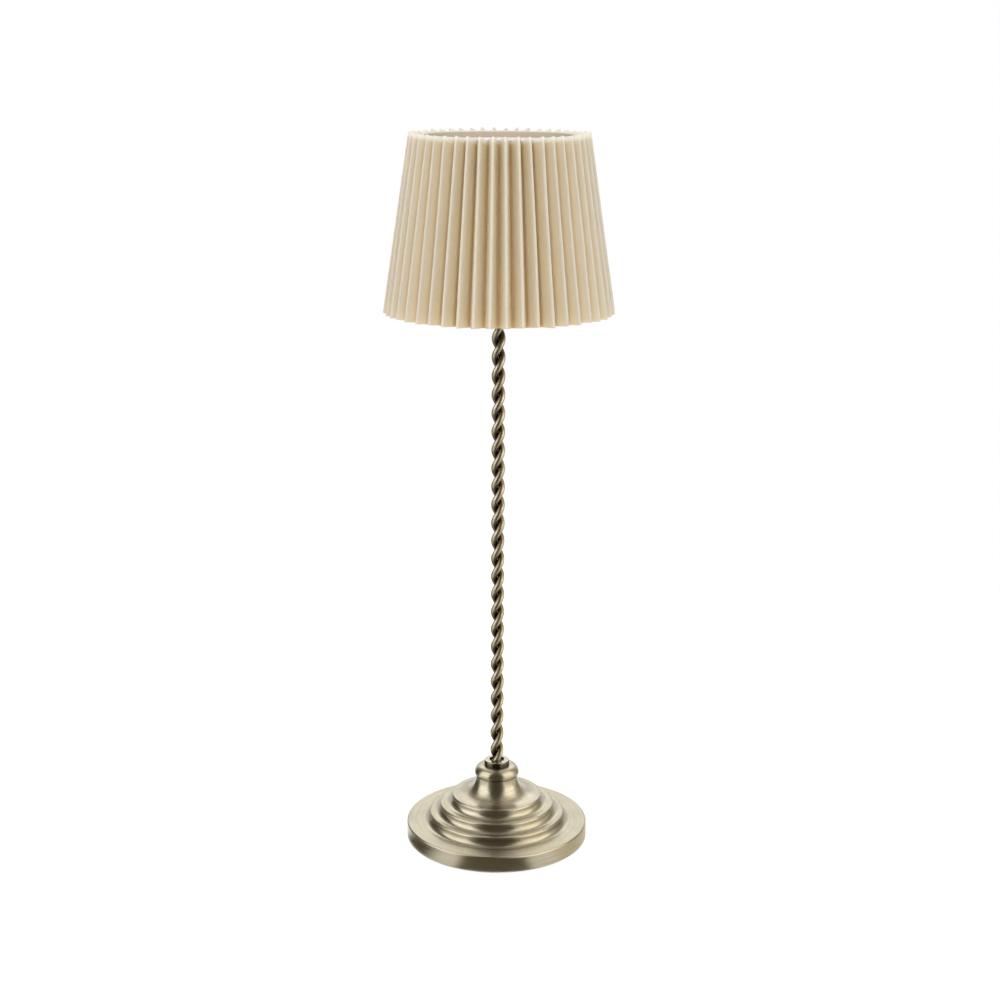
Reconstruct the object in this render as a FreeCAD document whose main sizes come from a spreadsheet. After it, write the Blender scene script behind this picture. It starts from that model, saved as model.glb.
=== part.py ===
import FreeCAD, Part
import math
import os

import Sketcher

# Candle lamp: a stepped metal base, a stem of two twisted rods, a candle cup that holds a
# battery tealight, and a pleated shade on a wire carrier.
# Millimetres, +Z up, origin at the centre of the foot on the table, -Y towards the viewer.

# Driving sizes, grouped by the piece that owns them
SIZES = {
    "Base": {
        "base_radius": 50.0,
        "base_edge_round": 1.0,
        "base_foot_round": 0.4,
        "base_lift": 0.5,
        "plate_height": 9.5,
        "step_one_radius": 37.5,
        "step_two_radius": 31.7,
        "step_three_radius": 24.9,
        "step_one_rise": 5.3,
        "step_two_rise": 5.0,
        "step_three_rise": 5.1,
        "cove_radius": 3.0,
        "lip_radius": 1.2,
        "neck_radius": 11.5,
        "flare_radius": 10.4,
        "groove_depth": 0.4,
        "groove_width": 0.6,
        "bead_root_radius": 11.9,
        "bead_radius": 12.3,
        "bead_lower_rise": 1.4,
        "bead_lower_round": 2.65,
        "bead_upper_round": 4.2,
        "shell_wall": 1.2,
        "pad_inset": 3.0,
        "pad_thickness": 1.5,
        "weight_clearance": 0.4,
        "recess_clearance": 1.0,
        "recess_spare_depth": 0.4,
    },
    "Stem": {
        "stud_radius": 3.0,
        "stud_clearance": 0.3,
        "stud_head_margin": 0.07,
        "stud_head_height": 0.9,
        "stud_tail": 0.1,
        "washer_radius": 8.0,
        "washer_thickness": 1.2,
        "nut_across_flats": 10.0,
        "nut_height": 3.2,
        "collar_radius": 7.0,
        "collar_clearance": 0.4,
        "collar_height": 3.0,
        "collar_round": 0.9,
        "collar_foot_round": 0.3,
        "strand_radius": 1.825,
        "strand_gap": 0.06,
        "strand_lead": 20.07,
        "strand_height": 261.6,
        "ferrule_radius": 6.2,
        "ferrule_head_radius": 8.0,
        "ferrule_fit": 0.07,
        "ferrule_bore_depth": 10.0,
        "ferrule_crown": 6.0,
        "ferrule_head_height": 2.5,
        "screw_radius": 2.0,
        "screw_hole_clearance": 0.1,
        "screw_depth": 5.0,
        "screw_head_radius": 3.5,
        "screw_head_height": 1.2,
        "screw_slot_width": 0.9,
        "screw_slot_depth": 0.6,
    },
    "Candle cup": {
        "pan_radius": 28.0,
        "pan_thickness": 1.0,
        "pan_rim_height": 3.5,
        "pan_rim_round": 2.5,
        "cup_bore_radius": 19.6,
        "cup_wall": 0.8,
        "cup_floor": 1.0,
        "cup_depth": 11.0,
        "cup_bead_radius": 0.6,
    },
    "Shade carrier": {
        "carrier_clearance": 0.3,
        "carrier_foot_width": 3.4,
        "carrier_foot_height": 1.5,
        "leg_radius": 1.0,
        "leg_height": 39.5,
        "carrier_ring_bore_radius": 23.6,
        "carrier_ring_width": 4.4,
        "carrier_ring_height": 1.2,
        "claw_inset": 0.15,
        "claw_thickness": 0.65,
        "claw_width": 5.0,
        "claw_height": 3.3,
        "fitter_clearance": 0.3,
    },
    "Shade": {
        "shade_height": 92.05,
        "fitter_rise": 57.9,
        "fitter_width": 3.3,
        "fitter_height": 1.5,
        "spoke_radius": 0.8,
        "spoke_bend_radius": 4.0,
        "crown_low_radius": 60.35,
        "crown_high_radius": 46.6,
        "pleat_low_depth": 7.6,
        "pleat_high_depth": 7.2,
        "crown_round": 1.15,
        "valley_round": 0.45,
        "cloth_thickness": 0.5,
        "edge_drop_low": 1.1,
        "edge_drop_high": 2.5,
        "liner_thickness": 0.5,
        "liner_clearance": 0.15,
        "liner_low_lift": 0.6,
        "ring_clearance": 0.1,
        "high_ring_radius": 0.9,
        "high_ring_drop": 3.0,
        "low_ring_radius": 1.0,
        "low_ring_lift": 2.0,
        "binding_width": 1.4,
        "binding_height": 1.2,
        "binding_lift": 0.3,
        "binding_round": 0.5,
    },
    "Tealight": {
        "case_clearance": 0.7,
        "case_height": 16.0,
        "case_wall": 1.0,
        "case_rim_width": 1.4,
        "case_rim_round": 0.5,
        "case_pool_drop": 2.0,
        "case_pool_slope": 0.5,
        "plate_recess": 2.0,
        "plate_thickness": 1.2,
        "plate_clearance": 0.1,
        "lens_hole_radius": 5.8,
        "lens_clearance": 0.3,
        "lens_flange_radius": 7.4,
        "lens_flange_height": 1.0,
        "lens_bore_clearance": 0.7,
        "lens_neck_height": 2.5,
        "lens_flame_height": 18.0,
        "lens_tip_radius": 0.6,
        "lens_flank_round": 38.0,
        "lens_bore_depth": 8.5,
        "cell_radius": 10.0,
        "cell_height": 3.2,
        "cell_offset": 3.0,
        "cell_step": 0.25,
        "cap_margin": 1.2,
        "cap_clearance": 0.25,
        "cap_slot_length": 14.0,
        "cap_slot_width": 1.6,
        "cap_slot_depth": 0.6,
        "cell_lift": 0.2,
        "holder_wall": 1.0,
        "holder_gap": 0.15,
        "spring_room": 1.9,
        "board_thickness": 1.2,
        "led_flange_radius": 2.9,
        "led_flange_height": 1.0,
        "led_radius": 2.5,
        "led_height": 8.6,
        "contact_thickness": 0.3,
        "contact_width": 4.0,
        "contact_foot": 3.0,
        "contact_reach": 4.5,
        "boss_radius": 2.2,
        "boss_x": 9.5,
        "boss_y": 11.0,
        "boss_hole_depth": 4.5,
        "plate_screw_radius": 0.8,
        "plate_screw_head_radius": 1.7,
        "plate_screw_head_height": 0.7,
        "plate_screw_length": 5.0,
        "switch_x": 14.6,
        "switch_neck_width": 2.0,
        "switch_neck_length": 2.4,
        "switch_clearance": 0.2,
        "switch_travel": 2.5,
        "switch_flange_width": 3.4,
        "switch_flange_length": 4.4,
        "switch_flange_height": 1.2,
        "switch_nub_drop": 1.0,
    },
    "Cutting": {
        "overrun": 2.0,
    },
}

# Turns, counts and bearings, which don't grow with the part
PLEAT_COUNT = 46
SPOKE_COUNT = 3
FULL_TURN = 360.0
CROWN_BEARING = -86.4
STRAND_BEARING = 42.0
SPOKE_BEARING = 30.0
LEG_BEARING = 90.0
BIARCS_PER_TURN = 4


class Length:
    """A size with the sheet expression that drives it."""

    def __init__(self, value, text):
        self.value = value
        self.text = text

    def __add__(self, other):
        return Length(self.value + other.value, f"({self.text} + {other.text})")

    def __sub__(self, other):
        return Length(self.value - other.value, f"({self.text} - {other.text})")

    def __mul__(self, other):
        if isinstance(other, Length):
            return Length(self.value * other.value, f"({self.text} * {other.text})")
        return Length(self.value * other, f"({self.text} * {other})")

    def __truediv__(self, other):
        if isinstance(other, Length):
            return Length(self.value / other.value, f"({self.text} / {other.text})")
        return Length(self.value / other, f"({self.text} / {other})")


class Sheet:
    """The spreadsheet of driving sizes, read as attributes."""

    def __init__(self, document):
        self.cells = document.addObject("Spreadsheet::Sheet", "Sizes")
        row = 1
        for group, sizes in SIZES.items():
            self.cells.set(f"A{row}", group)
            row += 1
            for alias, value in sizes.items():
                self.cells.set(f"A{row}", alias.replace("_", " "))
                self.cells.set(f"B{row}", str(value))
                self.cells.setAlias(f"B{row}", alias)
                row += 1
        document.recompute()

    def __getattr__(self, alias):
        return Length(float(self.cells.get(alias)), f"Sizes.{alias}")


doc = FreeCAD.newDocument("CandleLamp")
size = Sheet(doc)
ZERO = Length(0.0, "0")
UP = FreeCAD.Vector(0, 0, 1)
parts = []


def keep(piece, label, height=ZERO, bearing=0.0, across=ZERO):
    """Names a finished sub-part, stands it at its height and turns it to its bearing."""
    piece.Label = label
    turn = FreeCAD.Rotation(UP, bearing)
    piece.Placement = FreeCAD.Placement(FreeCAD.Vector(across.value, 0, height.value), turn)
    piece.setExpression("Placement.Base.x", across.text)
    piece.setExpression("Placement.Base.z", height.text)
    parts.append(piece)
    return piece


def new_body(name):
    return doc.addObject("PartDesign::Body", name + "_body")


def origin_plane(body, role):
    return next(item for item in body.Origin.OriginFeatures if item.Role == role)


def new_sketch(body, name, role="XZ_Plane", offset=ZERO):
    """A sketch on one of the body's own origin planes, moved along its normal."""
    sketch = body.newObject("Sketcher::SketchObject", name)
    sketch.AttachmentSupport = (origin_plane(body, role), [""])
    sketch.MapMode = "FlatFace"
    if offset.text != ZERO.text:
        sketch.setExpression("AttachmentOffset.Base.z", offset.text)
    return sketch


def corner(across, along, radius=None, turn=1):
    """A point of an outline. A radius bends the edge that leaves it, to the left for turn 1."""
    return across, along, radius, turn


def arc_between(start, end, radius, turn):
    """The arc of this radius from start to end, centre on the left for turn 1."""
    chord = end - start
    half = chord.Length / 2
    left = FreeCAD.Vector(-chord.y, chord.x, 0).normalize()
    rise = math.sqrt(max(radius * radius - half * half, 0.0))
    centre = (start + end) * 0.5 + left * (rise * turn)
    first, last = (start, end) if turn > 0 else (end, start)
    low = math.atan2(first.y - centre.y, first.x - centre.x)
    high = math.atan2(last.y - centre.y, last.x - centre.x)
    if high < low:
        high += 2 * math.pi
    return Part.ArcOfCircle(Part.Circle(centre, UP, radius), low, high)


def draw(sketch, corners, closed=True):
    """Chains lines and arcs through the corners and ties every size to the sheet."""
    first_edge = sketch.GeometryCount
    count = len(corners) if closed else len(corners) - 1
    places = [FreeCAD.Vector(c[0].value, c[1].value, 0) for c in corners]
    edges, tails, heads = [], [], []
    for index in range(count):
        start = places[index]
        end = places[(index + 1) % len(corners)]
        _, _, radius, turn = corners[index]
        if radius is None:
            edges.append(Part.LineSegment(start, end))
        else:
            edges.append(arc_between(start, end, radius.value, turn))
        backwards = radius is not None and turn < 0
        tails.append(2 if backwards else 1)
        heads.append(1 if backwards else 2)
    sketch.addGeometry(edges, False)
    rules, driven = [], []
    for index in range(count if closed else count - 1):
        following = (index + 1) % count
        rules.append(Sketcher.Constraint("Coincident", first_edge + index, heads[index],
                                         first_edge + following, tails[following]))
    for index, (across, along, _, _) in enumerate(corners):
        if index < count:
            geometry, point = first_edge + index, tails[index]
        else:
            geometry, point = first_edge + count - 1, heads[count - 1]
        for kind, axis, length in (("DistanceX", -2, across), ("DistanceY", -1, along)):
            if length.value == 0:
                rules.append(Sketcher.Constraint("PointOnObject", geometry, point, axis))
            else:
                driven.append((len(rules), length))
                rules.append(Sketcher.Constraint(kind, -1, 1, geometry, point, length.value))
    for index in range(count):
        radius = corners[index][2]
        if radius is not None:
            driven.append((len(rules), radius))
            rules.append(Sketcher.Constraint("Radius", first_edge + index, radius.value))
    base = sketch.ConstraintCount
    sketch.addConstraint(rules)
    for index, length in driven:
        sketch.setExpression(f"Constraints[{base + index}]", length.text)
    return sketch


def revolve(body, sketch, kind="Revolution"):
    """Turns a sketch once round the body's upright axis."""
    feature = body.newObject("PartDesign::" + kind, f"{body.Name}_{kind.lower()}")
    feature.Profile = sketch
    feature.ReferenceAxis = (sketch, ["V_Axis"])
    feature.Angle = FULL_TURN
    body.Tip = feature
    return feature


def turned(name, corners, height=ZERO, across=ZERO):
    """A sub-part turned from one closed outline of radius and height."""
    body = new_body(name)
    revolve(body, draw(new_sketch(body, name + "_outline"), corners))
    return keep(body, name, height, across=across)


def extrude(body, sketch, depth, kind="Pad", reverse=False):
    """Pads or pockets a sketch by a sheet length."""
    feature = body.newObject("PartDesign::" + kind, f"{sketch.Name}_{kind.lower()}")
    feature.Profile = sketch
    feature.setExpression("Length", depth.text)
    feature.Reversed = reverse
    body.Tip = feature
    return feature


def spin_pattern(body, feature, count):
    """Repeats a feature evenly round the body's upright axis."""
    pattern = body.newObject("PartDesign::PolarPattern", feature.Name + "_round")
    pattern.Originals = [feature]
    pattern.Axis = (origin_plane(body, "Z_Axis"), [""])
    pattern.Angle = FULL_TURN
    pattern.Occurrences = count
    body.Tip = pattern
    return pattern


def ring_corners(inner, outer, low, high):
    """A plain rectangular section between two radii and two heights."""
    return [corner(inner, low), corner(outer, low), corner(outer, high), corner(inner, high)]


def wire_ring(name, ring, section, height):
    """A round wire bent into a level ring."""
    torus = doc.addObject("Part::Torus", name + "_wire")
    torus.setExpression("Radius1", ring.text)
    torus.setExpression("Radius2", section.text)
    return keep(torus, name, height)


def circle_at(sketch, across, along, radius):
    """A circle tied to the sheet by its centre and radius."""
    number = sketch.addGeometry(Part.Circle(FreeCAD.Vector(across.value, along.value, 0), UP,
                                            radius.value), False)
    for kind, axis, length in (("DistanceX", -2, across), ("DistanceY", -1, along)):
        if length.value == 0:
            sketch.addConstraint(Sketcher.Constraint("PointOnObject", number, 3, axis))
        else:
            rule = sketch.addConstraint(Sketcher.Constraint(kind, -1, 1, number, 3, length.value))
            sketch.setExpression(f"Constraints[{rule}]", length.text)
    rule = sketch.addConstraint(Sketcher.Constraint("Radius", number, radius.value))
    sketch.setExpression(f"Constraints[{rule}]", radius.text)


def rectangle_at(sketch, across, along, width, depth):
    """A rectangle tied to the sheet by its centre, width and depth."""
    left = across - width / 2
    right = across + width / 2
    low = along - depth / 2
    high = along + depth / 2
    draw(sketch, [corner(left, low), corner(right, low), corner(right, high), corner(left, high)])


# Heights that follow from the stack of pieces
step_one_height = size.plate_height + size.step_one_rise
step_two_height = step_one_height + size.step_two_rise
step_three_height = step_two_height + size.step_three_rise
neck_height = step_three_height + size.flare_radius
bead_root_height = neck_height + size.groove_width
bead_height = bead_root_height + size.bead_lower_rise
base_height = bead_height + size.bead_upper_round
weight_top = size.plate_height - size.shell_wall
nut_recess_radius = size.washer_radius + size.recess_clearance
nut_recess_depth = size.washer_thickness + size.nut_height + size.recess_spare_depth
nut_seat = size.pad_thickness + nut_recess_depth
strand_reach = size.strand_radius * 2 + size.strand_gap / 2
stud_head_radius = strand_reach + size.stud_head_margin
collar_bore_radius = stud_head_radius + size.collar_clearance
ferrule_bore_radius = strand_reach + size.ferrule_fit
strand_low = base_height + size.stud_head_height
strand_high = strand_low + size.strand_height
ferrule_top = strand_high + size.ferrule_crown
pan_floor = ferrule_top + size.pan_thickness
cup_floor = pan_floor + size.cup_floor
carrier_foot_top = pan_floor + size.carrier_foot_height
leg_top = carrier_foot_top + size.leg_height
fitter_seat = leg_top + size.carrier_ring_height
shade_low = fitter_seat - size.fitter_rise


# Base: a spun shell over a weight on a pad, drawn together by a stud, washer and nut
def step_corners(radius, low, high):
    """Cove, riser and rounded lip of one step, from the tread below to the tread above."""
    return [
        corner(radius + size.cove_radius, low, size.cove_radius, -1),
        corner(radius, low + size.cove_radius),
        corner(radius, high - size.lip_radius, size.lip_radius, 1),
        corner(radius - size.lip_radius, high),
    ]


def base_shell():
    inner = size.base_radius - size.shell_wall
    outside = [
        corner(inner, size.base_lift),
        corner(size.base_radius - size.base_foot_round, size.base_lift, size.base_foot_round, 1),
        corner(size.base_radius, size.base_lift + size.base_foot_round),
        corner(size.base_radius, size.plate_height - size.base_edge_round,
               size.base_edge_round, 1),
        corner(size.base_radius - size.base_edge_round, size.plate_height),
    ]
    outside += step_corners(size.step_one_radius, size.plate_height, step_one_height)
    outside += step_corners(size.step_two_radius, step_one_height, step_two_height)
    outside += step_corners(size.step_three_radius, step_two_height, step_three_height)
    outside += [
        corner(size.neck_radius + size.flare_radius, step_three_height, size.flare_radius, -1),
        corner(size.neck_radius, neck_height),
        corner(size.neck_radius - size.groove_depth, neck_height + size.groove_width / 2),
        corner(size.bead_root_radius, bead_root_height, size.bead_lower_round, 1),
        corner(size.bead_radius, bead_height, size.bead_upper_round, 1),
        corner(size.bead_radius - size.bead_upper_round, base_height),
        corner(size.stud_radius + size.stud_clearance, base_height),
    ]
    wall = size.shell_wall
    inside = [
        corner(size.stud_radius + size.stud_clearance, base_height - wall),
        corner(size.bead_radius - size.bead_upper_round, base_height - wall),
        corner(size.neck_radius - wall, bead_height),
        corner(size.neck_radius - wall, neck_height - wall),
        corner(size.neck_radius + wall, step_three_height - wall),
        corner(size.step_three_radius - wall, step_three_height - wall),
        corner(size.step_three_radius - wall, step_two_height - wall),
        corner(size.step_two_radius - wall, step_two_height - wall),
        corner(size.step_two_radius - wall, step_one_height - wall),
        corner(size.step_one_radius - wall, step_one_height - wall),
        corner(size.step_one_radius - wall, weight_top),
        corner(inner, weight_top),
    ]
    turned("base_shell", outside + inside)


def base_fill():
    hole = size.stud_radius + size.stud_clearance
    pad_radius = size.base_radius - size.pad_inset
    weight_radius = size.base_radius - size.shell_wall - size.weight_clearance
    turned("base_pad", [
        corner(ZERO, ZERO),
        corner(pad_radius, ZERO),
        corner(pad_radius, size.pad_thickness),
        corner(ZERO, size.pad_thickness),
    ])
    turned("base_weight", [
        corner(nut_recess_radius, size.pad_thickness),
        corner(weight_radius, size.pad_thickness),
        corner(weight_radius, weight_top),
        corner(hole, weight_top),
        corner(hole, nut_seat),
        corner(nut_recess_radius, nut_seat),
    ])


def base_fasteners():
    bore = size.stud_radius + size.screw_hole_clearance
    washer_low = nut_seat - size.washer_thickness
    turned("stem_washer", ring_corners(bore, size.washer_radius, washer_low, nut_seat))
    body = new_body("stem_nut")
    nut_low = washer_low - size.nut_height
    hexagon = new_sketch(body, "nut_flats", "XY_Plane")
    apothem = size.nut_across_flats / 2
    reach = size.nut_across_flats / math.sqrt(3)
    flat = reach / 2
    draw(hexagon, [
        corner(reach, ZERO),
        corner(flat, apothem),
        corner(ZERO - flat, apothem),
        corner(ZERO - reach, ZERO),
        corner(ZERO - flat, ZERO - apothem),
        corner(flat, ZERO - apothem),
    ])
    extrude(body, hexagon, size.nut_height)
    hole = new_sketch(body, "nut_hole", "XY_Plane")
    circle_at(hole, ZERO, ZERO, bore)
    extrude(body, hole, size.nut_height + size.overrun, "Pocket", True)
    keep(body, "stem_nut", nut_low)
    turned("stem_stud", [
        corner(ZERO, size.pad_thickness + size.stud_tail),
        corner(size.stud_radius, size.pad_thickness + size.stud_tail),
        corner(size.stud_radius, base_height),
        corner(stud_head_radius, base_height),
        corner(stud_head_radius, strand_low),
        corner(ZERO, strand_low),
    ])


# Stem: two round rods twisted together, from the collar to the ferrule
def helix_point(bearing, height):
    """A point of a strand's centre line, height above the strand's lower end, and its heading."""
    radius = size.strand_radius.value + size.strand_gap.value / 2
    climb = size.strand_lead.value / (2 * math.pi)
    angle = math.radians(bearing) + height / climb
    point = FreeCAD.Vector(radius * math.cos(angle), radius * math.sin(angle), height)
    heading = FreeCAD.Vector(-radius * math.sin(angle), radius * math.cos(angle), climb)
    return point, heading.normalize()


def arc_from_tangents(start, crossing, end):
    """The arc that touches both lines from the crossing at start and end."""
    reach = (crossing - start).Length
    middle = (start + end) * 0.5
    half = (end - start).Length / 2
    rise = (crossing - middle).Length
    radius = half * reach / rise
    inward = (middle - crossing).normalize()
    crest = crossing + inward * (math.sqrt(radius * radius + reach * reach) - radius)
    return Part.Arc(start, crest, end).toShape()


def biarc(start, start_heading, end, end_heading):
    """Two arcs that run smoothly from one point and heading to another."""
    span = end - start
    both = start_heading + end_heading
    bend = 2 * (1 - start_heading.dot(end_heading))
    along = span.dot(both)
    reach = (math.sqrt(along * along + bend * span.dot(span)) - along) / bend
    first = start + start_heading * reach
    second = end - end_heading * reach
    joint = (first + second) * 0.5
    return [arc_from_tangents(start, first, joint), arc_from_tangents(joint, second, end)]


def strand(name, bearing):
    """One rod: a round section along the twist, its ends cut level."""
    pitch = size.strand_lead.value / BIARCS_PER_TURN
    run_out = size.overrun.value
    count = math.ceil((size.strand_height.value + 2 * run_out) / pitch)
    edges = []
    for index in range(count):
        start = helix_point(bearing, index * pitch - run_out)
        end = helix_point(bearing, (index + 1) * pitch - run_out)
        edges += biarc(*start, *end)
    path = doc.addObject("Part::Feature", name + "_path")
    path.Shape = Part.Wire(edges)
    section = doc.addObject("Part::Circle", name + "_section")
    section.setExpression("Radius", size.strand_radius.text)
    start, heading = helix_point(bearing, -run_out)
    section.Placement = FreeCAD.Placement(start, FreeCAD.Rotation(UP, heading))
    rod = doc.addObject("Part::Sweep", name + "_sweep")
    rod.Sections = [section]
    rod.Spine = (path, [f"Edge{number + 1}" for number in range(len(edges))])
    rod.Solid = True
    rod.Frenet = False
    reach = doc.addObject("Part::Cylinder", name + "_reach")
    reach.setExpression("Radius", (size.strand_radius * 2 + size.overrun).text)
    reach.setExpression("Height", size.strand_height.text)
    cut = doc.addObject("Part::Common", name)
    cut.Base = rod
    cut.Tool = reach
    keep(cut, name, strand_low)


def stem_ends():
    round_off = size.collar_round
    foot_round = size.collar_foot_round
    top = base_height + size.collar_height
    turned("stem_collar", [
        corner(collar_bore_radius, base_height),
        corner(size.collar_radius - foot_round, base_height, foot_round, 1),
        corner(size.collar_radius, base_height + foot_round),
        corner(size.collar_radius, top - round_off, round_off, 1),
        corner(size.collar_radius - round_off, top),
        corner(collar_bore_radius, top),
    ])
    ferrule_low = strand_high - size.ferrule_bore_depth
    screw_hole = size.screw_radius + size.screw_hole_clearance
    turned("stem_ferrule", [
        corner(ferrule_bore_radius, ferrule_low),
        corner(size.ferrule_radius, ferrule_low),
        corner(size.ferrule_radius, ferrule_top - size.ferrule_head_height),
        corner(size.ferrule_head_radius, ferrule_top - size.ferrule_head_height),
        corner(size.ferrule_head_radius, ferrule_top),
        corner(screw_hole, ferrule_top),
        corner(screw_hole, strand_high),
        corner(ferrule_bore_radius, strand_high),
    ])


# Candle cup on a drip pan, held to the ferrule by one screw
def candle_cup():
    hole = size.screw_radius + size.screw_hole_clearance
    rim = size.pan_rim_round
    thickness = size.pan_thickness
    turned("drip_pan", [
        corner(hole, ferrule_top),
        corner(size.pan_radius - rim, ferrule_top, rim, 1),
        corner(size.pan_radius, ferrule_top + rim),
        corner(size.pan_radius, ferrule_top + size.pan_rim_height),
        corner(size.pan_radius - thickness, ferrule_top + size.pan_rim_height),
        corner(size.pan_radius - thickness, ferrule_top + rim, rim - thickness, -1),
        corner(size.pan_radius - rim, pan_floor),
        corner(hole, pan_floor),
    ])
    wall = size.cup_bore_radius + size.cup_wall
    top = cup_floor + size.cup_depth
    bead = size.cup_bead_radius
    turned("candle_cup", [
        corner(hole, pan_floor),
        corner(wall, pan_floor),
        corner(wall, top - bead * 2, bead, 1),
        corner(wall, top),
        corner(size.cup_bore_radius, top),
        corner(size.cup_bore_radius, cup_floor),
        corner(hole, cup_floor),
    ])
    body = new_body("cup_screw")
    outline = new_sketch(body, "cup_screw_outline")
    revolve(body, draw(outline, [
        corner(ZERO, cup_floor - size.screw_depth),
        corner(size.screw_radius, cup_floor - size.screw_depth),
        corner(size.screw_radius, cup_floor),
        corner(size.screw_head_radius, cup_floor),
        corner(size.screw_head_radius, cup_floor + size.screw_head_height),
        corner(ZERO, cup_floor + size.screw_head_height),
    ]))
    slot = new_sketch(body, "cup_screw_slot", "XY_Plane", cup_floor + size.screw_head_height)
    rectangle_at(slot, ZERO, ZERO, size.screw_head_radius * 2 + size.overrun,
                 size.screw_slot_width)
    extrude(body, slot, size.screw_slot_depth, "Pocket")
    keep(body, "cup_screw")


# Shade carrier: a foot ring round the cup, three ogee legs and a ring with three claws
def carrier():
    foot_inner = (size.cup_bore_radius + size.cup_wall + size.cup_bead_radius
                  + size.carrier_clearance)
    foot_outer = foot_inner + size.carrier_foot_width
    turned("carrier_foot", ring_corners(foot_inner, foot_outer, pan_floor, carrier_foot_top))
    leg_foot = (foot_inner + foot_outer) / 2
    leg_head = size.carrier_ring_bore_radius + size.carrier_ring_width / 2
    body = new_body("carrier_legs")
    spread = leg_head - leg_foot
    bend = (size.leg_height * size.leg_height + spread * spread) / (spread * 4)
    path = new_sketch(body, "carrier_leg_path")
    draw(path, [
        corner(leg_foot, ZERO, bend, -1),
        corner((leg_foot + leg_head) / 2, size.leg_height / 2, bend, 1),
        corner(leg_head, size.leg_height),
    ], closed=False)
    section = new_sketch(body, "carrier_leg_section", "XY_Plane")
    circle_at(section, leg_foot, ZERO, size.leg_radius)
    leg = body.newObject("PartDesign::AdditivePipe", "carrier_leg")
    leg.Profile = section
    leg.Spine = (path, ["Edge1", "Edge2"])
    body.Tip = leg
    spin_pattern(body, leg, SPOKE_COUNT)
    keep(body, "carrier_legs", carrier_foot_top, LEG_BEARING)
    body = new_body("carrier_ring")
    ring_outer = size.carrier_ring_bore_radius + size.carrier_ring_width
    outline = new_sketch(body, "carrier_ring_outline")
    revolve(body, draw(outline, ring_corners(size.carrier_ring_bore_radius, ring_outer,
                                             ZERO, size.carrier_ring_height)))
    claw = new_sketch(body, "carrier_claw_outline", "XY_Plane")
    centre = size.carrier_ring_bore_radius + size.claw_inset + size.claw_thickness / 2
    rectangle_at(claw, centre, ZERO, size.claw_thickness, size.claw_width)
    pad = extrude(body, claw, size.carrier_ring_height + size.claw_height)
    spin_pattern(body, pad, SPOKE_COUNT)
    keep(body, "carrier_ring", leg_top, LEG_BEARING)


# Shade frame: fitter ring on the carrier, three spokes and the two wire rings of the liner
def tapered(low, high, height):
    """A size that runs evenly from the shade's lower edge to its top, at a height between."""
    return low - (low - high) * height / size.shade_height


def liner_radius(height, inside=True):
    """Radius of the liner's face at a height above the shade's lower edge."""
    valley = tapered(size.crown_low_radius - size.pleat_low_depth,
                     size.crown_high_radius - size.pleat_high_depth, height)
    face = valley - size.cloth_thickness - size.liner_clearance
    return face - size.liner_thickness if inside else face


def shade_frame():
    fitter_inner = (size.carrier_ring_bore_radius + size.claw_inset + size.claw_thickness
                    + size.fitter_clearance)
    fitter_outer = fitter_inner + size.fitter_width
    turned("shade_fitter", ring_corners(fitter_inner, fitter_outer, size.fitter_rise,
                                        size.fitter_rise + size.fitter_height), shade_low)
    high_ring_height = size.shade_height - size.edge_drop_high - size.high_ring_drop
    high_ring = liner_radius(high_ring_height) - size.high_ring_radius - size.ring_clearance
    wire_ring("shade_top_ring", high_ring, size.high_ring_radius, shade_low + high_ring_height)
    low_ring_height = size.low_ring_lift
    low_ring = liner_radius(low_ring_height) - size.low_ring_radius - size.ring_clearance
    wire_ring("shade_bottom_ring", low_ring, size.low_ring_radius, shade_low + low_ring_height)
    body = new_body("shade_spokes")
    foot = size.fitter_rise + size.fitter_height + size.spoke_radius
    bend = size.spoke_bend_radius
    head = high_ring_height - size.high_ring_radius
    path = new_sketch(body, "shade_spoke_path")
    draw(path, [
        corner(fitter_inner, foot),
        corner(high_ring - bend, foot, bend, 1),
        corner(high_ring, foot + bend),
        corner(high_ring, head),
    ], closed=False)
    section = new_sketch(body, "shade_spoke_section", "YZ_Plane", fitter_inner)
    circle_at(section, ZERO, foot, size.spoke_radius)
    spoke = body.newObject("PartDesign::AdditivePipe", "shade_spoke")
    spoke.Profile = section
    spoke.Spine = (path, ["Edge1", "Edge2", "Edge3"])
    body.Tip = spoke
    spin_pattern(body, spoke, SPOKE_COUNT)
    keep(body, "shade_spokes", shade_low, SPOKE_BEARING)


# Shade cloth: a smooth liner with a bound top edge, inside a cover of soft pleats
def shade_liner():
    low = size.liner_low_lift
    high = size.shade_height - size.edge_drop_high + size.binding_lift
    turned("shade_liner", [
        corner(liner_radius(low), low),
        corner(liner_radius(low, False), low),
        corner(liner_radius(high, False), high),
        corner(liner_radius(high), high),
    ], shade_low)
    inner = liner_radius(high)
    outer = inner + size.binding_width
    top = high + size.binding_height
    round_off = size.binding_round
    turned("shade_top_binding", [
        corner(inner, high),
        corner(outer, high),
        corner(outer, top - round_off, round_off, 1),
        corner(outer - round_off, top),
        corner(inner + round_off, top, round_off, 1),
        corner(inner, top - round_off),
    ], shade_low)


def arc_of(middle, radius, start, end):
    """The anticlockwise arc round middle from start to end."""
    low = math.atan2(start.y - middle.y, start.x - middle.x)
    high = math.atan2(end.y - middle.y, end.x - middle.x)
    if high < low:
        high += 2 * math.pi
    return Part.ArcOfCircle(Part.Circle(middle, UP, radius), low, high)


def mirrored(point):
    return FreeCAD.Vector(point.x, -point.y, 0)


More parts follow.
